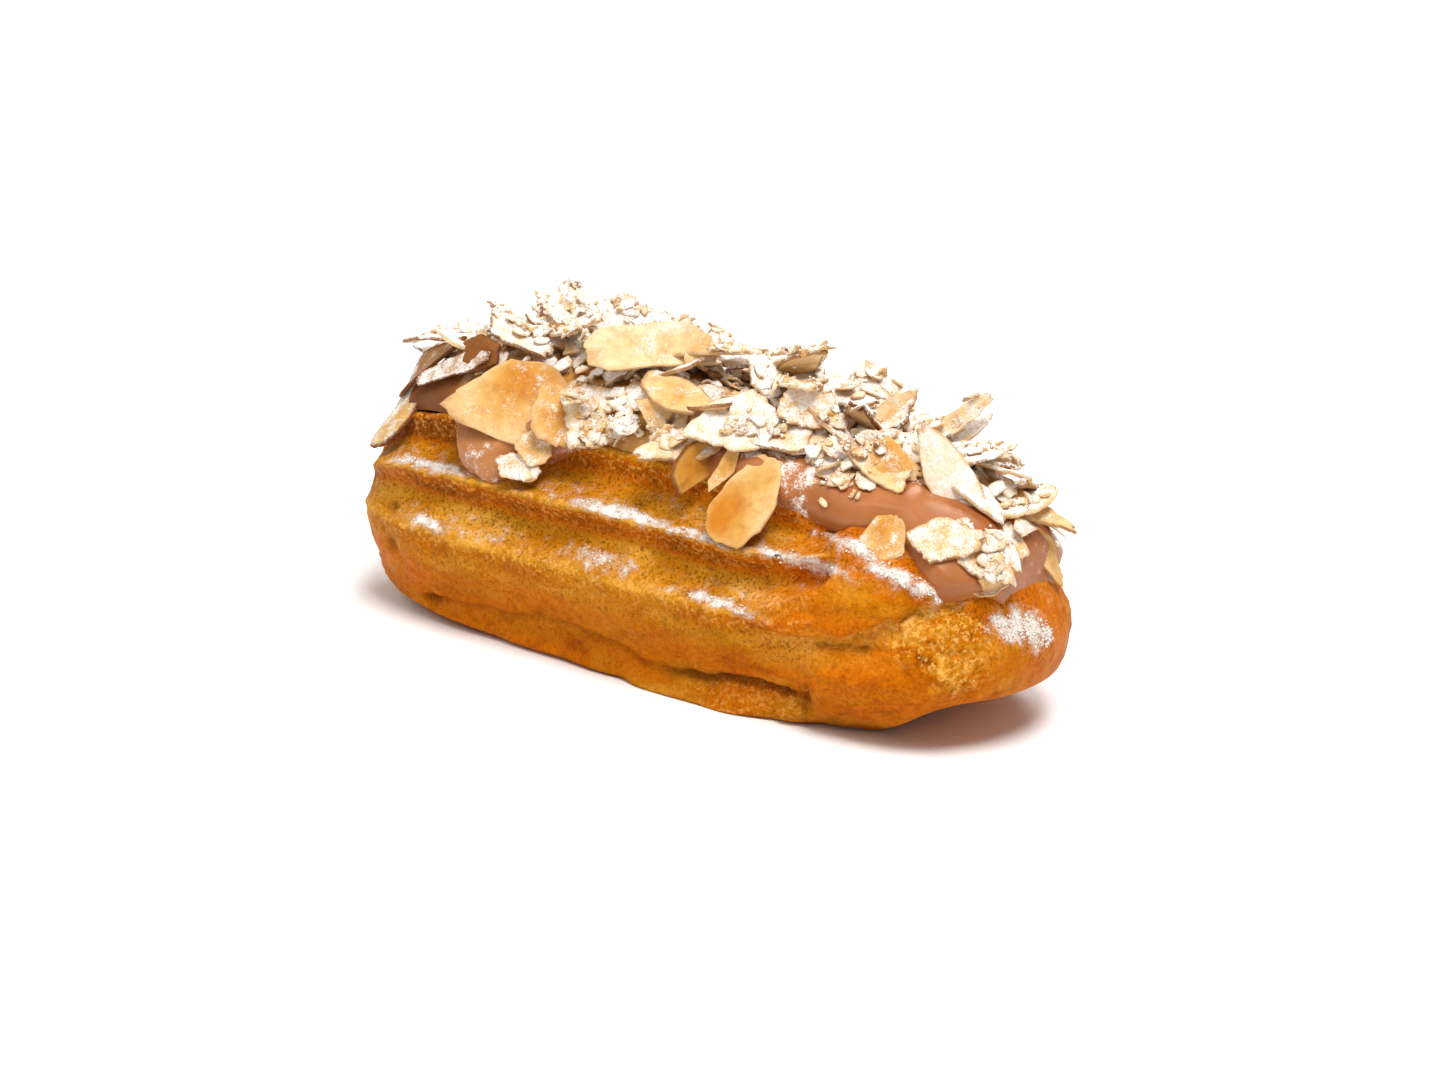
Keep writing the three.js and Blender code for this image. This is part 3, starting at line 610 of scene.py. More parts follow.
def almond_finish():
    f = Finish("flaked_almond")
    fibre = f.step(f.noise(1.6, 5, 0.6), 0.35, 0.75, 0, 0.4)
    colour = f.blend(fibre, f.attribute("tint", "Color"), ALMOND_FIBRE, "MULTIPLY")
    blotch = f.step(f.noise(2.8, 4, 0.7), 0.5, 0.68, 0, 0.3)
    colour = f.blend(blotch, colour, ALMOND_BLOTCH, "MULTIPLY")
    sugar = f.dusted(0.3, 0.8, 2.2)
    powder = f.noise(0.5, 4, 0.8)
    colour = f.blend(sugar, colour, f.blend(f.step(powder, 0.32, 0.6), SUGAR_SHADE, SUGAR_WHITE))
    roughness = f.sum(0.5, f.times(sugar, 0.4))
    bump = f.sum(f.noise(0.6, 5, 0.7), f.times(f.sum(sugar, powder), 0.6))
    return f.finish(colour, roughness, bump, strength=0.45, depth_mm=0.2, Specular_IOR_Level=0.15,
                    Subsurface_Weight=0.15, Subsurface_Radius=ALMOND_GLOW, Subsurface_Scale=0.0008)


def sugar_finish():
    f = Finish("icing_sugar")
    colour = f.blend(f.noise(1.2, 4), SUGAR_WHITE, GRAIN_SHADE)
    return f.finish(colour, f.step(f.noise(0.5), 0.3, 0.7, 0.8, 0.95), Specular_IOR_Level=0.2)


# The baked shell

SHELL_STATIONS = 260
COLUMNS_PER_DEGREE = 0.85
BASE_COLUMNS = 26
BASE_ROUNDING = 0.8
CREST_WIDTH = 1.1
# Noise before and after the relief: stretch along X, lump size, seed, octaves
CRUST_NOISE = {
    "swell": (1, 7, 1, 2), "lumpy": (1, 2.6, 5, 3), "fine": (1, 1.25, 45, 1), "pitted": (1, 1.5, 12, 1),
    "streaks": (0.3, 2.2, 33, 2), "fibres": (0.16, 1.5, 37, 3), "flaky": (1, 1.5, 9, 2),
    "grainy": (1, 1.2, 15, 3), "lobed": (1, 1.8, 16, 2), "fluffy": (1, 1.1, 19, 2),
    "base_wander": (1, 4, 21, 2), "thin_wander": (1, 3, 23, 2), "torn_wander": (1, 4, 25, 2),
}
TONE_NOISE = {
    "tone": (1, 11, 31, 2), "torn_tone": (1, 1.7, 35, 3), "blotches": (0.45, 3, 39, 2),
    "orange_tone": (0.45, 5, 43, 2),
}
# What each form adds to the relief in mm, to how dark the crust is painted, and to its painted crack shade
# and pale flecks
RELIEF = {
    "swell": 0.3, "lumpy": 0.26, "streaks": 0.14, "pits": -0.24, "fine": 0.14, "crest": 0.2,
    "crest_flakes": 0.5, "torn": 0.4, "torn_grains": -1, "lobe_lumps": 0.6, "lip_streaks": 0.3,
    "lip_fibres": 0.35, "frayed_lumps": 0.4, "pocket": -0.8, "right_crest": 1, "low_ridge": 1,
    "lip_crack": -1, "thin_crack": -1, "base_crack": -1, "crease": -1, "dents": -1,
}
EVEN_BAKE = 0.45
# How dark the crust is painted: its bake, with painted shade under the crests, on the upper flank under the
# heap and on the top of the -X end, and painted light that lifts the shade in the hollow by the lip
BAKE_AND_PAINTED_LIGHT = {
    "under": 0.36, "hollow": -0.05, "crest": -0.12, "tone": 0.1, "streaks": 0.1, "flank": 0.14, "upper": 0.06,
    "far_end": 0.2, "near_end": 0.12, "left_tip": -0.06, "pocket": -0.14, "frayed": -0.3, "torn": 0.2,
    "torn_pale": -0.4, "right_fibres": 0.3, "blotches": 0.16, "rim": -0.2,
}
# Painted shade in the cracks, the crease, the dents and the pits
RECESS_SHADE = {"thin_crack": 0.22, "base_crack": 0.48, "dents": 0.5, "crease": 0.4, "pits": 0.12}
FLECKS = {"near_crest": 0.8, "torn": 1, "frayed": 0.6, "lobe": 0.5, "crease": 1}
# What takes the orange of the crust away, and the most that the orange or the painted crack shade covers
ORANGE_LOSSES = {"torn": 0.5, "frayed": 0.3, "rim": 1, "lobe": 0.4}
MOST_COVER = 0.8


def shell_turns():
    steps = np.round(np.diff(RIDGE_ANGLES) * COLUMNS_PER_DEGREE).astype(int)
    steps[-1] = BASE_COLUMNS
    return np.concatenate([k + np.arange(n) / n for k, n in enumerate(steps)])


def relief_along(form, x, degrees):
    """Height of a ridge, or depth of a crack, that runs along the front."""
    gap = arc(degrees - along_line(form["line"], x))
    width = np.where(gap > 0, *form["widths"])
    return bell(gap, width) * along_line(form["size"], x) * (degrees < 90)


def add_noise(at, table, points):
    for name, (stretch, size, seed, octaves) in table.items():
        setattr(at, name, lumps(points * (stretch, 1, 1), size, seed, octaves))


def weighted(at, weights):
    return sum(weight * getattr(at, name) for name, weight in weights.items())


def shell_grid():
    """Places on the shell before its fine relief, and the masks that the relief and the colours go by.

    Limits of the masks are in mm along X, in degrees round the section or as shares.
    """
    station, turn = grid(bunched(SHELL_STATIONS), shell_turns())
    x = station * np.where(station < 0, LEFT_REACH, RIGHT_REACH)
    angle, reach, share, lip_share = shell_ray(x, turn)
    points = on_section(x, angle, reach)
    base = base_height(x)
    points[..., 2] = base + BASE_ROUNDING * np.logaddexp(0, (points[..., 2] - base) / BASE_ROUNDING)
    points[..., 0] += nose_at(x, points[..., 2])
    degrees = np.degrees(angle)
    at = SimpleNamespace(x=x, degrees=degrees, base=base, points=points, height=points[..., 2] - base)
    at.normal = outward(points, np.stack([x, 0 * x, centre_height(x)], -1))
    add_noise(at, CRUST_NOISE, points)

    ridge = np.floor(turn).astype(int)
    arcs = np.diff(RIDGE_ANGLES)[ridge]
    within = np.sin(np.pi * np.clip((share - lip_share) / (1 - lip_share), 0, 1))
    from_crest = arc(np.minimum(np.abs(share - lip_share), 1 - share) * arcs)
    overhung = arc((1 - np.where(degrees < 90, share, 1 - share)) * arcs)
    at.front = ease(98, 82, degrees)
    at.ends = ease(0.15, 0.6, end_share(x))
    piped = at.ends * (1 - ease(*RIDGE_END, x)) * band((-12, -4, 184, 192), degrees)
    at.crest = bell(from_crest, CREST_WIDTH) * piped
    at.near_crest = bell(from_crest, 2 * CREST_WIDTH) * piped
    at.hollow = within * piped
    # Painted shade under the overhang of each crest, deepest under the lip's crest, over a browner bake
    at.under = band((0, 0.7, 1.6, 4.2), overhung) * piped
    at.under *= 1 - 0.6 * (degrees < along_line(LOW_EDGE, x))
    at.under *= 1 + 0.35 * (ridge == LIP_RIDGE)
    # The hollow by the lip is also painted paler, as painted light against its shade
    at.pocket = within * (ridge == LIP_RIDGE) * at.ends * band(POCKET_SPAN, x)

    at.right_crest = relief_along(RIGHT_CREST, x, degrees)
    at.low_ridge = relief_along(LOW_RIDGE, x, degrees)
    at.lip_crack = relief_along(LIP_CRACK, x, degrees)
    at.thin_crack = relief_along(THIN_CRACK, x, degrees + 1.2 * at.thin_wander)
    wander = 1.4 * at.base_wander
    at.base_crack = relief_along(BASE_CRACK, x, degrees + wander)
    at.base_crack += relief_along(BASE_CRACK, -x, 180 - degrees + wander)
    from_crease = x - CREASE["x"] - CREASE["slant"] * (degrees - CREASE["angles"][0])
    at.crease = CREASE["depth"] * bell(from_crease, CREASE["width"]) * band(CREASE["angles"], degrees)
    at.dents = sum(depth * bell(np.hypot(x - place, arc(degrees - around)), size)
                   for place, around, size, depth in DIMPLES)
    at.pits = ease(0.3, 0.75, at.pitted)
    at.frayed = np.clip(at.lip_crack / 2, 0, 1)
    at.lobe = band((8, 15, 31, 35), x) * ease(-21, -25, degrees)
    at.torn = band((45, 50, 58.5, 61.5), x) * at.front
    at.torn *= ease(0, 9, degrees - along_line(TORN_EDGE, x) + 4 * at.torn_wander)
    at.torn *= ease(0, 3, along_line(LIP_CRACK["line"], x) - degrees)
    lip = band((22, 32, 50, 56), x) * at.front * (1 - at.pocket)
    at.lip_streaks, at.lip_fibres = lip * at.streaks, lip * at.fibres
    at.crest_flakes = at.crest * at.flaky
    at.torn_grains = at.torn * np.abs(at.grainy)
    at.lobe_lumps = at.lobe * at.lobed
    at.frayed_lumps = at.frayed * at.fluffy
    return at


def crust_looks(at, points):
    """What the crust's finish reads at each point."""
    x, degrees = at.x, at.degrees
    add_noise(at, TONE_NOISE, points)
    at.flank = band((-44, -34, -18, -4), degrees)
    # Painted shadow on the upper front flank, under the almond heap
    at.upper = ease(34, 46, degrees) * at.front
    # Painted shadow on the top of the -X end, under the overhanging slices
    at.far_end = ease(36, 52, degrees) * ease(-34, -46, x) * at.front
    at.near_end = ease(34, 44, x) * (1 - at.torn)
    at.left_tip = ease(-48, -64, x)
    at.torn_pale = at.torn * ease(-0.3, 0.4, at.torn_tone)
    at.right_fibres = at.fibres * ease(16, 30, x)
    at.rim = ease(2.6, 0.8, at.height) * bell(x - 5, 7) * at.front
    # Orange: painted light that makes the +X end brighter, where more light falls from the right, the low
    # band's
    # own deeper orange, and more orange under the crests with their painted shade
    low = ease(2, -14, np.minimum(degrees, 180 - degrees))
    orange_and_painted_light = np.maximum(0.5 * ease(14, 34, x), 0.45 * low)
    for name, share in ORANGE_LOSSES.items():
        orange_and_painted_light = orange_and_painted_light * (1 - share * getattr(at, name))
    return {
        "bake_and_painted_light": EVEN_BAKE + weighted(at, BAKE_AND_PAINTED_LIGHT),
        "sugar": crest_sugar(at, points),
        "recess_shade": np.clip(weighted(at, RECESS_SHADE), 0, MOST_COVER),
        "crest": np.clip(weighted(at, FLECKS), 0, 1),
        "hollow": np.clip(at.hollow + ease(30, 40, degrees) * at.front, 0, 1),
        "orange_and_painted_light": np.clip(orange_and_painted_light * (1 + at.orange_tone) + 0.3 * at.under, 0, MOST_COVER),
    }


def crest_sugar(at, points):
    sugar = 0.16 * ease(0.2, 0.8, at.normal[..., 2])
    for place, around, length, spread, strength in SUGAR_SPOTS:
        sugar = np.maximum(sugar, strength * bell(at.x - place, length) * bell(at.degrees - around, spread))
    for place, size, strength in SUGAR_BALLS:
        away = np.linalg.norm(points - np.array(place), axis=-1)
        sugar = np.maximum(sugar, strength * bell(away, size))
    return sugar


def shell_piece(material):
    at = shell_grid()
    relief = weighted(at, RELIEF) * ease(0.2, 2.2, at.height) * at.ends
    points = at.points + at.normal * relief[..., None]
    points[..., 2] = np.maximum(points[..., 2], at.base)
    right_height = centre_height(RIGHT_REACH)
    right_tip = (RIGHT_REACH + nose_at(RIGHT_REACH, right_height), 0, right_height)
    tips = [(-LEFT_REACH, 0, centre_height(-LEFT_REACH)), right_tip]
    flat = np.concatenate([points.reshape(-1, 3), np.array(tips, float)])
    layers = {name: np.append(values, [values[0].mean(), values[-1].mean()])
              for name, values in crust_looks(at, points).items()}
    made = piece("choux_baked", flat, ringed_faces(*at.x.shape), material, layers)
    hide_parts("choux_shell")
    return flat, layers["sugar"]


# Icing

ICING_STATIONS = 170
ICING_COLUMNS = 84
RIPPLE_HEIGHT = 0.35
RIPPLE_NOISE = (8, 41, 2)
# A sprinkle of sugar in front of the heap, and the drip: middle and half length along X and Y
SPRINKLE = ((25, 8), (-13, 3.6))
DRIP = (-32, 8)
SHADED_END = (-39, -45)


def closed(points):
    """Rows of a tube's points in one list, with the middle of each end after them."""
    return np.concatenate([points.reshape(-1, 3), [points[0].mean(0), points[-1].mean(0)]])


def icing_piece(material):
    middle, half = (ICING_LEFT + ICING_RIGHT) / 2, (ICING_RIGHT - ICING_LEFT) / 2
    places = middle + half * np.concatenate([[-1], bunched(ICING_STATIONS), [1]])
    x, share = grid(places, np.arange(ICING_COLUMNS) / (ICING_COLUMNS - 1))
    angle = mix(*icing_edges(x), share)
    smooth = (section_reach(angle) + bulge_at(x, angle)) * end_share(x)
    inset = np.maximum(0, icing_inset(x, angle))
    standoff = mix(-ICING_DIVE, ICING_THICKNESS, np.sqrt(np.minimum(1, inset / ICING_ROUNDING)))
    outer = on_section(x, angle, smooth + standoff)
    outer[..., 0] += standoff * x / np.where(x < 0, LEFT_REACH, RIGHT_REACH)
    outer[..., 2] += RIPPLE_HEIGHT * lumps(outer, *RIPPLE_NOISE) * ease(0, 4, inset)
    inner = on_section(x, angle, smooth * ICING_ROOT)[:, ::-1]
    points = np.concatenate([outer, inner], 1)
    flat = closed(points)
    x, y = flat[:, 0], flat[:, 1]
    fallen = ease(0.1, 0.9, heap_rise(x, y + 3) / 4)
    sprinkled = np.prod([bell(v - middle, half) for v, (middle, half) in zip((x, y), SPRINKLE)], axis=0)
    drip = bell(x - DRIP[0], DRIP[1])
    sugar = 0.35 * fallen + 0.7 * sprinkled + 0.4 * drip * ease(-17, -21, y)
    layers = {
        "sugar": np.clip(sugar, 0, 1),
        "thin": 0.45 * drip * ease(-13, -19, y),
        "shaded": ease(*SHADED_END, x),
    }
    made = piece("milk_icing", flat, ringed_faces(*points.shape[:2]), material, layers)
    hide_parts("almond_topping")
    return made


# Almonds


def draws_from(seed):
    state = seed
    while True:
        state = (state * DRAW_MULTIPLIER + DRAW_INCREMENT) % DRAW_SPAN
        yield state / DRAW_SPAN


def flake_axes(facing, spin):
    bearing, rise = (math.radians(v) for v in facing)
    level = math.cos(rise)
    face = np.array([level * math.cos(bearing), level * math.sin(bearing), math.sin(rise)])
    sideways = np.array([-math.sin(bearing), math.cos(bearing), 0])
    upwards = np.cross(face, sideways)
    turn = math.radians(spin)
    along = sideways * math.cos(turn) + upwards * math.sin(turn)
    return along, np.cross(face, along), face


def flake_outline(corner, kept, cut=0):
    """Places along and across a slice of unit reach."""
    side = np.sin(corner) * np.abs(np.sin(corner / 2)) ** TIP_SHARPNESS
    return np.minimum(np.cos(corner), 2 * kept - 1 + cut), side / TIP_NARROWING


def flake_points(flake, corner, share, height, cut=0):
    at, facing, spin, (length, width), kept, bow = flake
    along, across, face = flake_axes(facing, spin)
    tip, side = (line * share for line in flake_outline(corner, kept, cut))
    lift = bow * tip * tip + height
    moves = ((tip * length / 2, along), (side * width / 2, across), (lift, face))
    return np.array(at, float) + sum(np.multiply.outer(far, axis) for far, axis in moves)


def heap_place(share):
    tall = HEAP_TALL["share"]
    if share < tall:
        return mix(HEAP_ENDS[0], HEAP_TALL["end"], share / tall)
    return mix(HEAP_TALL["end"], HEAP_ENDS[1], (share - tall) / (1 - tall))


def heaped_flakes():
    """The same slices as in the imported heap, dropped one by one in the same order of draws."""
    draw = draws_from(HEAP_SEED)
    heights = {}
    ring, corner = grid(FLAKE_RINGS, 2 * np.pi * np.arange(FLAKE_BEARINGS) / FLAKE_BEARINGS)
    half = FLAKE_THICKNESS / 2

    def cell(x, y):
        return math.floor(x / HEAP_CELL), math.floor(y / HEAP_CELL)

    def height_at(x, y):
        kept = heights.get(cell(x, y))
        return float(icing_top(x, y) + HEAP_CORE * heap_rise(x, y)) if kept is None else kept

    made = []
    for i in range(HEAP_COUNT):
        x = heap_place((i * HEAP_STRIDE) % 1)
        best = (-math.inf, 0, 0)
        for _ in range(HEAP_TRIES):
            y = float(mix(along_line(HEAP_FRONT, x), HEAP_BACK, next(draw)))
            rise = float(heap_rise(x, y))
            top = float(icing_top(x, y)) + rise
            lack = (top - height_at(x, y)) / math.sqrt(rise)
            if lack > best[0]:
                best = (lack, y, top)
        _, y, top = best
        tilt = mix(*HEAP_TILTS, next(draw))
        length = mix(*HEAP_LENGTHS, i / HEAP_COUNT)
        facing = (360 * next(draw), 90 - tilt)
        spin = 360 * next(draw)
        size = (length, length * mix(*HEAP_SLIMNESS, next(draw)))
        kept = min(1, mix(*HEAP_KEPT, next(draw)))
        bow = HEAP_BOW * (2 * next(draw) - 1)
        spots = flake_points(((x, y, 0), facing, spin, size, kept, bow), corner, ring, 0).reshape(-1, 3)
        support = max(height_at(p[0], p[1]) - p[2] + half for p in spots)
        settled = support - HEAP_SINK["least"] - HEAP_SINK["tilted"] * math.sin(math.radians(tilt))
        z = min(settled, top)
        for p in spots:
            heights[cell(p[0], p[1])] = max(height_at(p[0], p[1]), p[2] + z + half)
        made.append(((x, y, z), facing, spin, size, kept, bow))
    return made


SLICE = {"corners": 44, "rings": (0.3, 0.6, 0.85, 0.98), "thickness": 0.7, "wobble": 0.06, "ragged": 0.06}
WHOLE = {**SLICE, "wobble": 0.035, "ragged": 0.025}
SHARD = {"corners": 14, "rings": (0.55, 0.95), "thickness": 0.45, "wobble": 0.06, "ragged": 0.08}
WAVES = (2, 3, 5, 8, 11)
# Draws that turn something to any side, and draws that shift its noise
ANY_TURN = (0, 7)
ANY_SHIFT = (-50, 50)
CRISP_ANGLE = 32
# Noise of a slice's colours: lump size, seed, octaves
SCORCH_NOISE = (6, 51, 2)
SKIN_NOISE = (4, 55, 1)
DUST_NOISE = (3, 57, 2)
EDGE_SHARES = (0.86, 0.99)
# More sugar lies along the top of the heap than on its front: shares, and where in y they change
DUST_SHARES = (0.85, 1.15)
DUST_LINE = (-14, -1)
CREAM, GOLD, TOAST, SKIN, RIM = (np.array(c, float) for c in (
    (244, 224, 190), (208, 156, 76), (196, 122, 26), (122, 72, 34), (222, 182, 130)))
SLICE_SKINNED = 0.18
SHARD_SKINNED = 0.08
FLAKE_SEED = 7


def slice_mesh(flake, look, random, fineness, breaks, spot=NO_SPOT):
    """An almond slice with an uneven, broken outline: its mesh, tints and sugar."""
    toast, skin, dust = look
    corners, half = fineness["corners"], fineness["thickness"] / 2
    corner = 2 * np.pi * (np.arange(corners) + 0.5) / corners
    outline = 1 + fineness["wobble"] * sum(
        random.uniform(-1, 1) * np.sin(n * corner + random.uniform(*ANY_TURN)) for n in WAVES)
    jag = fineness["wobble"] * random.uniform(-1, 1, corners)
    tip, side = flake_outline(corner, flake[4])
    for heading, depth in breaks:
        turn = math.radians(heading)
        reach = tip * math.cos(turn) + side * math.sin(turn)
        outline = np.where(reach * outline > depth, depth / np.maximum(reach, 0.01), outline)
    outline = outline * (1 + fineness["ragged"] * random.uniform(-1, 1, corners))
    levels = [(r, half * (1 - 0.15 * r ** 3)) for r in fineness["rings"]]
    levels += [(1, 0)] + [(r, -h) for r, h in reversed(levels)]
    curl = random.uniform(-0.5, 0.5)
    wave = 0.14 * np.sin(3 * corner + 2)
    rings = []
    for share, height in levels:
        lift = height + (wave * share + curl * (side * share) ** 2)
        rings.append(flake_points(flake, corner, share * outline, lift, jag))
    rings += [flake_points(flake, np.zeros(1), 0, h) for h in (half, -half)]
    points = np.concatenate(rings)

    shares, heights = np.array(levels).T
    share = np.append(np.repeat(shares, corners), [0, 0])
    over = np.append(np.repeat(heights >= 0, corners), [True, False])
    own = points + random.uniform(*ANY_SHIFT, 3)
    spot_tip, spot_side, spot_size, spot_strength = spot
    tips, sides = (np.append(np.outer(shares, line), [0, 0]) for line in (tip, side))
    scorch = toast * (1.2 - 0.6 * share ** 2) + (0.1 + 0.35 * toast) * lumps(own, *SCORCH_NOISE)
    scorch += spot_strength * bell(np.hypot(tips - spot_tip, sides - spot_side), spot_size)
    scorch = np.clip(scorch, 0, 1)[:, None]
    tint = np.where(scorch < 0.5, mix(CREAM, GOLD, scorch * 2), mix(GOLD, TOAST, scorch * 2 - 1))
    edge = ease(*EDGE_SHARES, share)
    tint = mix(tint, RIM, (0.4 * edge)[:, None])
    rim = 1.6 * skin + 0.5 * lumps(own, *SKIN_NOISE) - 0.3
    whole = ease(0.9, 1, skin) * np.where(over, 0.8, 0.4)
    tint = mix(tint, SKIN, np.maximum(edge * np.clip(rim, 0, 1), whole)[:, None])
    up = np.where(over, 1, -1) * flake_axes(flake[1], flake[2])[2][2]
    dust = dust * mix(*DUST_SHARES, ease(*DUST_LINE, points[:, 1]))
    sugar = dust * ease(-0.1, 0.6, up) * (0.75 + 0.5 * lumps(own, *DUST_NOISE)) * (1 - 0.5 * edge)
    return (points, ringed_faces(len(levels), corners)), tint, sugar


def merged(meshes):
    """Many meshes as one: points and faces."""
    points, faces, count = [], [], 0
    for mesh_points, mesh_faces in meshes:
        points.append(mesh_points)
        faces += [[count + v for v in face] for face in mesh_faces]
        count += len(mesh_points)
    return np.concatenate(points), faces


def topping(name, parts, material):
    meshes, tints, sugars = zip(*parts)
    points, faces = merged(meshes)
    colours = np.concatenate([linear(np.concatenate(tints)), np.ones((len(points), 1))], 1)
    made = piece(name, points, faces, material, {"tint": colours, "sugar": np.concatenate(sugars)})
    made.data.set_sharp_from_angle(angle=math.radians(CRISP_ANGLE))
    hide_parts("almond_topping")
    return made


def any_look(random, skinned):
    """Draws of how toasted a slice is, how brown its skin and how much sugar lies on it."""
    skin = random.uniform(0.6, 0.95) if random.uniform() < skinned else random.uniform(0, 0.4)
    return random.uniform(0, 0.3), skin, random.uniform(0.7, 1.45)


def any_breaks(random, count):
    """Draws of broken sides: heading, and share of the reach that is left."""
    return [(random.uniform(0, 360), random.uniform(0.45, 0.85)) for _ in range(count)]


def flake_piece(material):
    random = np.random.RandomState(FLAKE_SEED)
    parts = []
    for flake in heaped_flakes():
        look = any_look(random, SLICE_SKINNED)
        breaks = any_breaks(random, random.randint(1, 4))
        parts.append(slice_mesh(flake, look, random, SLICE, breaks))
    for k, (flake, look) in enumerate(zip(PLACED_FLAKES, PLACED_LOOKS)):
        flake = (*flake[:3], PLACED_SIZES.get(k, flake[3]), *flake[4:])
        breaks = PLACED_BREAKS.get(k) or any_breaks(random, 3)
        fineness = WHOLE if k in OPEN_SLICES else SLICE
        parts.append(slice_mesh(flake, look, random, fineness, breaks, PLACED_SPOTS.get(k, NO_SPOT)))
    for flake, look in LOOSE_FLAKES:
        parts.append(slice_mesh(flake, look, random, SLICE, any_breaks(random, 1)))
    return topping("almond_flakes", parts, material)


BED_COLUMNS = 150
BED_ROWS = 60
BED_DEPTH = 2.5
BED_SINK = 0.2
BED_MARGIN = 1.5
BED_WIDTH_SHARE = 0.9
BED_ENDS = (-55.5, 57)
BED_EDGE = (0, 0.08)
# Noise of its clumps, its crumbs and its sugar: lump size, seed, octaves
CLUMP_NOISE = (3.4, 61, 3)
BED_CRUMB_NOISE = (1.6, 65, 2)
BED_SUGAR_NOISE = (5, 75, 2)


def bed_piece(material):
    """The sugary crumbs that the slices lie in, between the icing and the heap."""
    x, share = grid(np.linspace(*BED_ENDS, BED_COLUMNS), np.linspace(0, 1, BED_ROWS))
    half_width = HALF_WIDTH * end_share(x)
    back = half_width * np.cos(np.radians(along_line(BACK_EDGE, x))) - BED_MARGIN
    y = mix(along_line(HEAP_FRONT, x), np.minimum(HEAP_BACK, back), share)
    y = np.clip(y, -half_width * BED_WIDTH_SHARE, half_width * BED_WIDTH_SHARE)
    top = np.stack([x, y, icing_top(x, y) + HEAP_CORE * heap_rise(x, y) - BED_SINK], -1)
    rough = 1.2 * lumps(top, *CLUMP_NOISE) + 0.7 * np.abs(lumps(top, *BED_CRUMB_NOISE))
    rough *= ease(*BED_EDGE, share) * ease(*BED_EDGE, 1 - share)
    top[..., 2] += rough
    low = np.stack([x, y, icing_top(x, y) - BED_DEPTH], -1)[:, ::-1]
    points = np.concatenate([top, low], 1)
    flat = closed(points)
    raised = np.append(ease(-0.2, 0.9, np.concatenate([rough, 0 * rough], 1)), [0, 0])
    tint = mix(mix(GOLD, SKIN, 0.3), CREAM, raised[:, None])
    shaded = ease(-40, -46, flat[:, 0]) * ease(-4, -9, flat[:, 1])
    tint = mix(tint, SKIN, shaded[:, None])
    sugar = 0.75 * raised + 0.25 * lumps(flat, *BED_SUGAR_NOISE)
    part = ((flat, ringed_faces(*points.shape[:2])), tint, sugar * (1 - shaded))
    return topping("crumb_bed", [part], material)


# Broken bits, crumbs and sugar, dropped on what lies open to the sky

DROP_HEIGHT = 100
DROP_ENDS = (-61, 60)
DROP_MARGINS = {"front": 4, "back": 2}
# Chance that a drop is kept: the least, and the height of the heap that makes it sure
DROP_LEAST = 0.12
DROP_FULL = 8
# What stays clear round an open slice: a share of its length, and depths behind and before it
OPEN_SHARE = 0.56
OPEN_DEPTHS = (-2.6, 5)
# Places where more lies: x, y, spread, share of all
CLUSTERS = [(57.2, -10.2, 4, 0.07), (-25, -20, 2.5, 0.04), (30, -8, 6, 0.04), (-52, -9, 5, 0.05)]
CLUSTER_SPREAD = 0.6
# Edges of the heap where more lies: line, ends in x, distance off the line, spread, share of all
FRINGES = [
    (HEAP_FRONT, (-36, 20), -1.2, 1.4, 0.2),
    ([(end, HEAP_BACK) for end in HEAP_ENDS], (-50, 54), -1.2, 2.2, 0.1),
]
# Broken bits: number, lengths, and how high they may lie over what they fell on
FILLING = (460, (3, 8.5), 2)
SCATTERED = (820, (1.6, 6), 0.6)
SHARD_SEED = 11
CRUMB_COUNT = 320
CRUMB_NOISE = (1, 81, 2)
CRUMB_SEED = 13
GRAIN_COUNT = 7400
CREST_GRAINS = 2000
LEAST_SUGAR = 0.3
GRAIN_SEED = 17
STRETCHES = (0.6, 1.2)


def skyline(*pieces):
    points, faces = merged(([v.co / METRES for v in made.data.vertices],
                            [f.vertices for f in made.data.polygons]) for made in pieces)
    return BVHTree.FromPolygons(points.tolist(), faces)


def drop_place(random):
    pick = random.uniform()
    for x, y, spread, share in CLUSTERS:
        if pick < share:
            return tuple(middle + spread * random.normal() * CLUSTER_SPREAD for middle in (x, y))
        pick -= share
    for line, ends, off, spread, share in FRINGES:
        if pick < share:
            x = random.uniform(*ends)
            return x, float(along_line(line, x)) + off + spread * random.normal()
        pick -= share
    while True:
        x = random.uniform(*DROP_ENDS)
        front = float(along_line(HEAP_FRONT, x)) - DROP_MARGINS["front"]
        y = random.uniform(front, HEAP_BACK + DROP_MARGINS["back"])
        if random.uniform() < DROP_LEAST + float(heap_rise(x, y)) / DROP_FULL:
            return x, y


def on_open_slice(place):
    for at, facing, spin, (length, _), _, _ in OPEN_FLAKES:
        away = np.array(place) - np.array(at)
        before = away @ flake_axes(facing, spin)[2]
        beside = math.sqrt(max(0, away @ away - before ** 2))
        if beside < OPEN_SHARE * length and OPEN_DEPTHS[0] < before < OPEN_DEPTHS[1]:
            return True
    return False


def dropped(tree, random, count):
    """Seeded places where something has fallen: point and surface direction."""
    found = []
    while len(found) < count:
        x, y = drop_place(random)
        hit, normal, _, _ = tree.ray_cast(Vector((x, y, DROP_HEIGHT)), Vector((0, 0, -1)))
        if hit is not None and hit.z > CENTRE_HEIGHT and not on_open_slice(hit):
            found.append((np.array(hit), np.array(normal)))
    return found


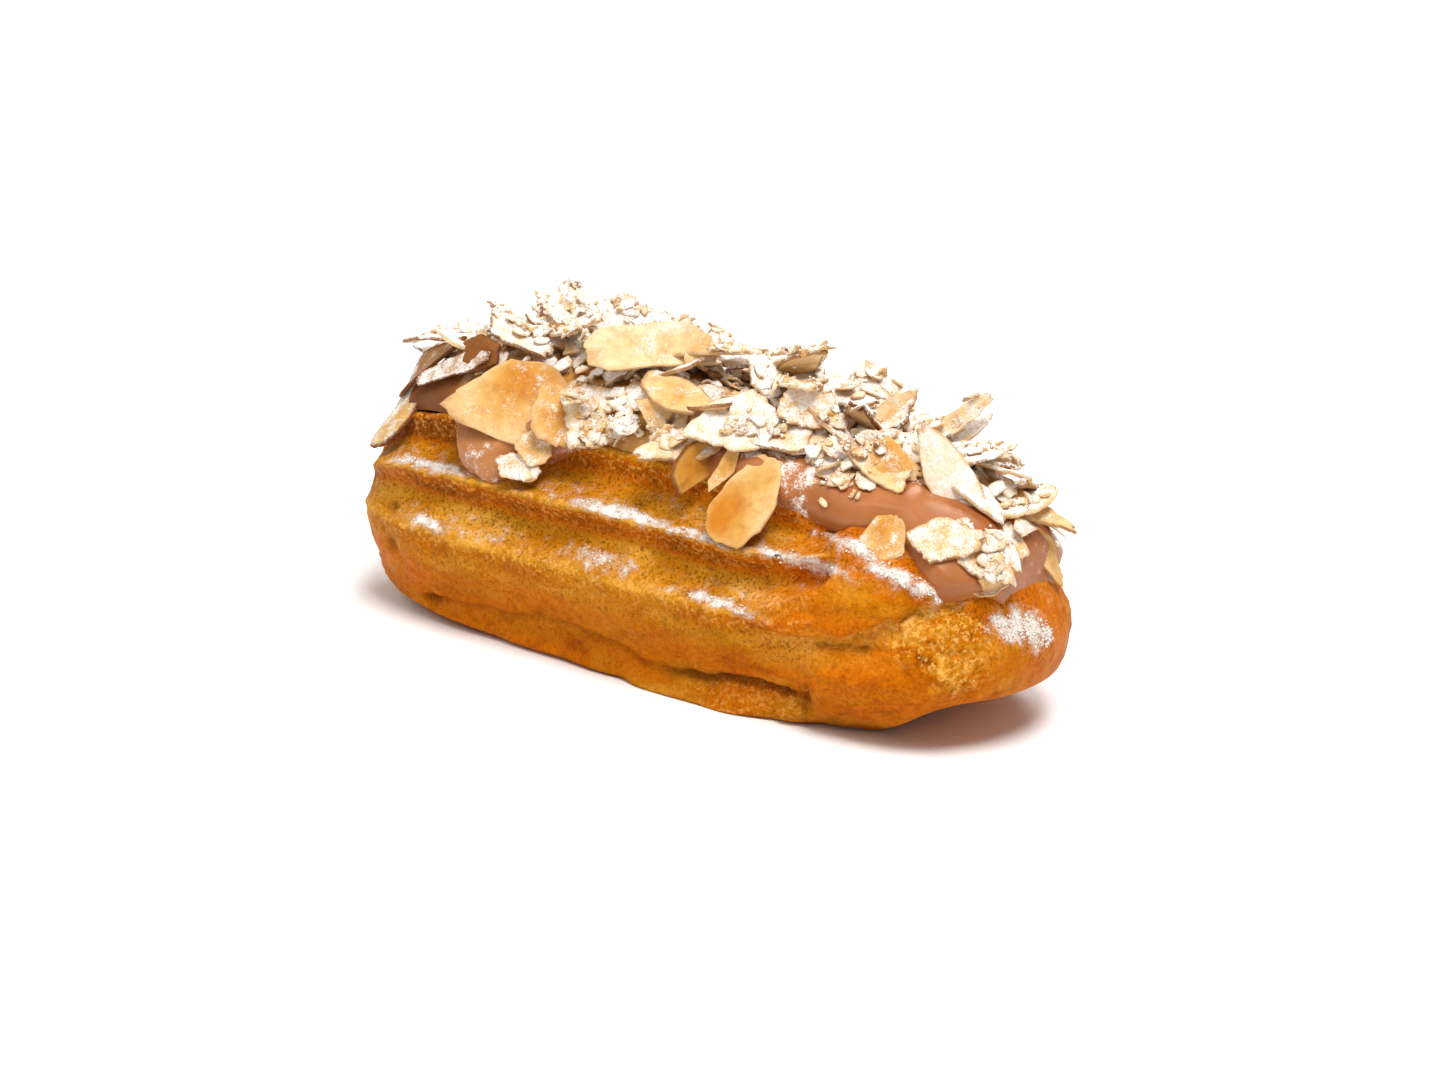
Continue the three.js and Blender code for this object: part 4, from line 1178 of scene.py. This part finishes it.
def broken_slices(tree, random, count, lengths, lift):
    """Broken bits of almond, each lying near enough flat where it fell."""
    parts = []
    for place, normal in dropped(tree, random, count):
        lean = normal + random.normal(size=3) * random.uniform(0.05, 0.38)
        lean /= np.linalg.norm(lean)
        facing = (math.degrees(math.atan2(lean[1], lean[0])), math.degrees(math.asin(lean[2])))
        length = mix(*lengths, random.uniform() ** 1.4)
        size = (length, length * random.uniform(0.4, 0.8))
        at = place + normal * random.uniform(0.1, lift)
        spin, kept, bow = (random.uniform(*limits) for limits in ((0, 360), (0.6, 1), (-0.5, 0.5)))
        flake = (at, facing, spin, size, kept, bow)
        look = any_look(random, SHARD_SKINNED)
        parts.append(slice_mesh(flake, look, random, SHARD, any_breaks(random, 3)))
    return parts


def shard_piece(material, bed_tree, heap_tree):
    """Bits that fill the heap between the slices, and bits on top of them."""
    random = np.random.RandomState(SHARD_SEED)
    parts = broken_slices(bed_tree, random, *FILLING)
    parts += broken_slices(heap_tree, random, *SCATTERED)
    return topping("almond_shards", parts, material)


def ball(subdivisions):
    made = bmesh.new()
    bmesh.ops.create_icosphere(made, subdivisions=subdivisions, radius=1)
    points = np.array([v.co for v in made.verts])
    faces = [[v.index for v in face.verts] for face in made.faces]
    made.free()
    return points, faces


def crumb_piece(material, tree):
    random = np.random.RandomState(CRUMB_SEED)
    points, faces = ball(2)
    parts = []
    for place, normal in dropped(tree, random, CRUMB_COUNT):
        size = 0.2 + 0.55 * random.uniform() ** 3
        turn = Matrix.Rotation(random.uniform(*ANY_TURN), 3, Vector(random.normal(size=3)))
        knobbly = 1 + 0.6 * lumps(1.3 * points + random.uniform(*ANY_SHIFT, 3), *CRUMB_NOISE)
        shaped = points * knobbly[:, None] * random.uniform(*STRETCHES, 3) * size
        shaped = shaped @ np.array(turn).T + place + normal * size * 0.3
        tone = random.uniform() ** 1.5
        tint = mix(CREAM, GOLD, tone) if random.uniform() < 0.85 else mix(GOLD, SKIN, tone)
        sugar = random.uniform(0.2, 1) * ease(-0.6, 0.6, points[:, 2])
        parts.append(((shaped, faces), np.tile(tint, (len(points), 1)), sugar))
    return topping("almond_crumbs", parts, material)


def grain_piece(material, tree, crust_points, crust_sugar):
    """Loose grains of sugar on the heap and along the sugared crests."""
    random = np.random.RandomState(GRAIN_SEED)
    points, faces = ball(1)
    weight = np.maximum(0, crust_sugar - LEAST_SUGAR) ** 1.5
    crests = crust_points[random.choice(len(crust_points), CREST_GRAINS, p=weight / weight.sum())]
    places = [place for place, _ in dropped(tree, random, GRAIN_COUNT)] + list(crests)
    grains = []
    for place in places:
        size = 0.06 + 0.22 * random.uniform() ** 2
        shaped = points * random.uniform(*STRETCHES, 3) * size
        grains.append((shaped + place + random.uniform(-0.35, 0.35, 3), faces))
    made = piece("icing_sugar", *merged(grains), material)
    return made


# Stage, light and camera

PHOTO_AZIMUTH = 34
PHOTO_ELEVATION = 18
PHOTO_ROLL = 2.4
PHOTO_DISTANCE = 750
PHOTO_TARGET = (1, 0.7, 19.8)
PHOTO_LENS = 112.5
SENSOR_WIDTH = 36
NEAREST_VIEW = 0.01
# Lamps: azimuth, elevation, distance and size in metres, power
LAMPS = {"key": (50, 66, 0.9, 0.45, 8.4), "fill": (-30, 45, 1, 0.7, 2.2), "rim": (190, 50, 0.9, 0.5, 4.2)}
LAMP_AIM = (0, 0, 0.03)
FLOOR_HALF = 6
SKY_STRENGTH = 0.4


def bearing(azimuth, elevation):
    a, e = math.radians(azimuth), math.radians(elevation)
    return Vector((math.sin(a) * math.cos(e), -math.cos(a) * math.cos(e), math.sin(e)))


def camera():
    back = bearing(PHOTO_AZIMUTH, PHOTO_ELEVATION)
    made = linked("camera", bpy.data.cameras.new("camera"))
    made.data.lens = PHOTO_LENS
    made.data.sensor_width = SENSOR_WIDTH
    made.data.clip_start = NEAREST_VIEW
    place = Matrix.Translation((Vector(PHOTO_TARGET) + back * PHOTO_DISTANCE) * METRES)
    level = back.to_track_quat("Z", "Y").to_matrix().to_4x4()
    made.matrix_world = place @ level @ Matrix.Rotation(math.radians(PHOTO_ROLL), 4, "Z")
    bpy.context.scene.camera = made


def lamp(name, azimuth, elevation, distance, size, power):
    light = bpy.data.lights.new(name, "AREA")
    light.shape = "DISK"
    light.size = size
    light.energy = power
    made = linked(name, light)
    back = bearing(azimuth, elevation)
    made.location = Vector(LAMP_AIM) + back * distance
    made.rotation_mode = "QUATERNION"
    made.rotation_quaternion = back.to_track_quat("Z", "Y")


def stage():
    f = Finish("pale_floor")
    colour = f.blend(f.noise(40), *FLOOR_TONES)
    material = f.finish(colour, f.step(f.noise(15), 0.3, 0.7, 0.75, 0.85), Specular_IOR_Level=0.1)
    mesh = bpy.data.meshes.new("floor")
    corners = [(-1, -1, 0), (1, -1, 0), (1, 1, 0), (-1, 1, 0)]
    mesh.from_pydata((np.array(corners) * FLOOR_HALF).tolist(), [], [(0, 1, 2, 3)])
    mesh.materials.append(material)
    floor = linked("floor", mesh)
    world = bpy.data.worlds.new("studio")
    world.use_nodes = True
    sky = world.node_tree.nodes["Background"]
    sky.inputs["Color"].default_value = (1, 1, 1, 1)
    sky.inputs["Strength"].default_value = SKY_STRENGTH
    bpy.context.scene.world = world
    for name, values in LAMPS.items():
        lamp(name, *values)
    bpy.context.scene.view_settings.view_transform = "Standard"


almond = almond_finish()
crust_points, crust_sugar = shell_piece(choux_finish())
icing = icing_piece(icing_finish())
bed = bed_piece(almond)
flakes = flake_piece(almond)
shards = shard_piece(almond, skyline(icing, bed), skyline(icing, bed, flakes))
crumbs = crumb_piece(almond, skyline(icing, bed, flakes, shards))
grain_piece(sugar_finish(), skyline(icing, bed, flakes, shards, crumbs), crust_points, crust_sugar)
camera()
stage()
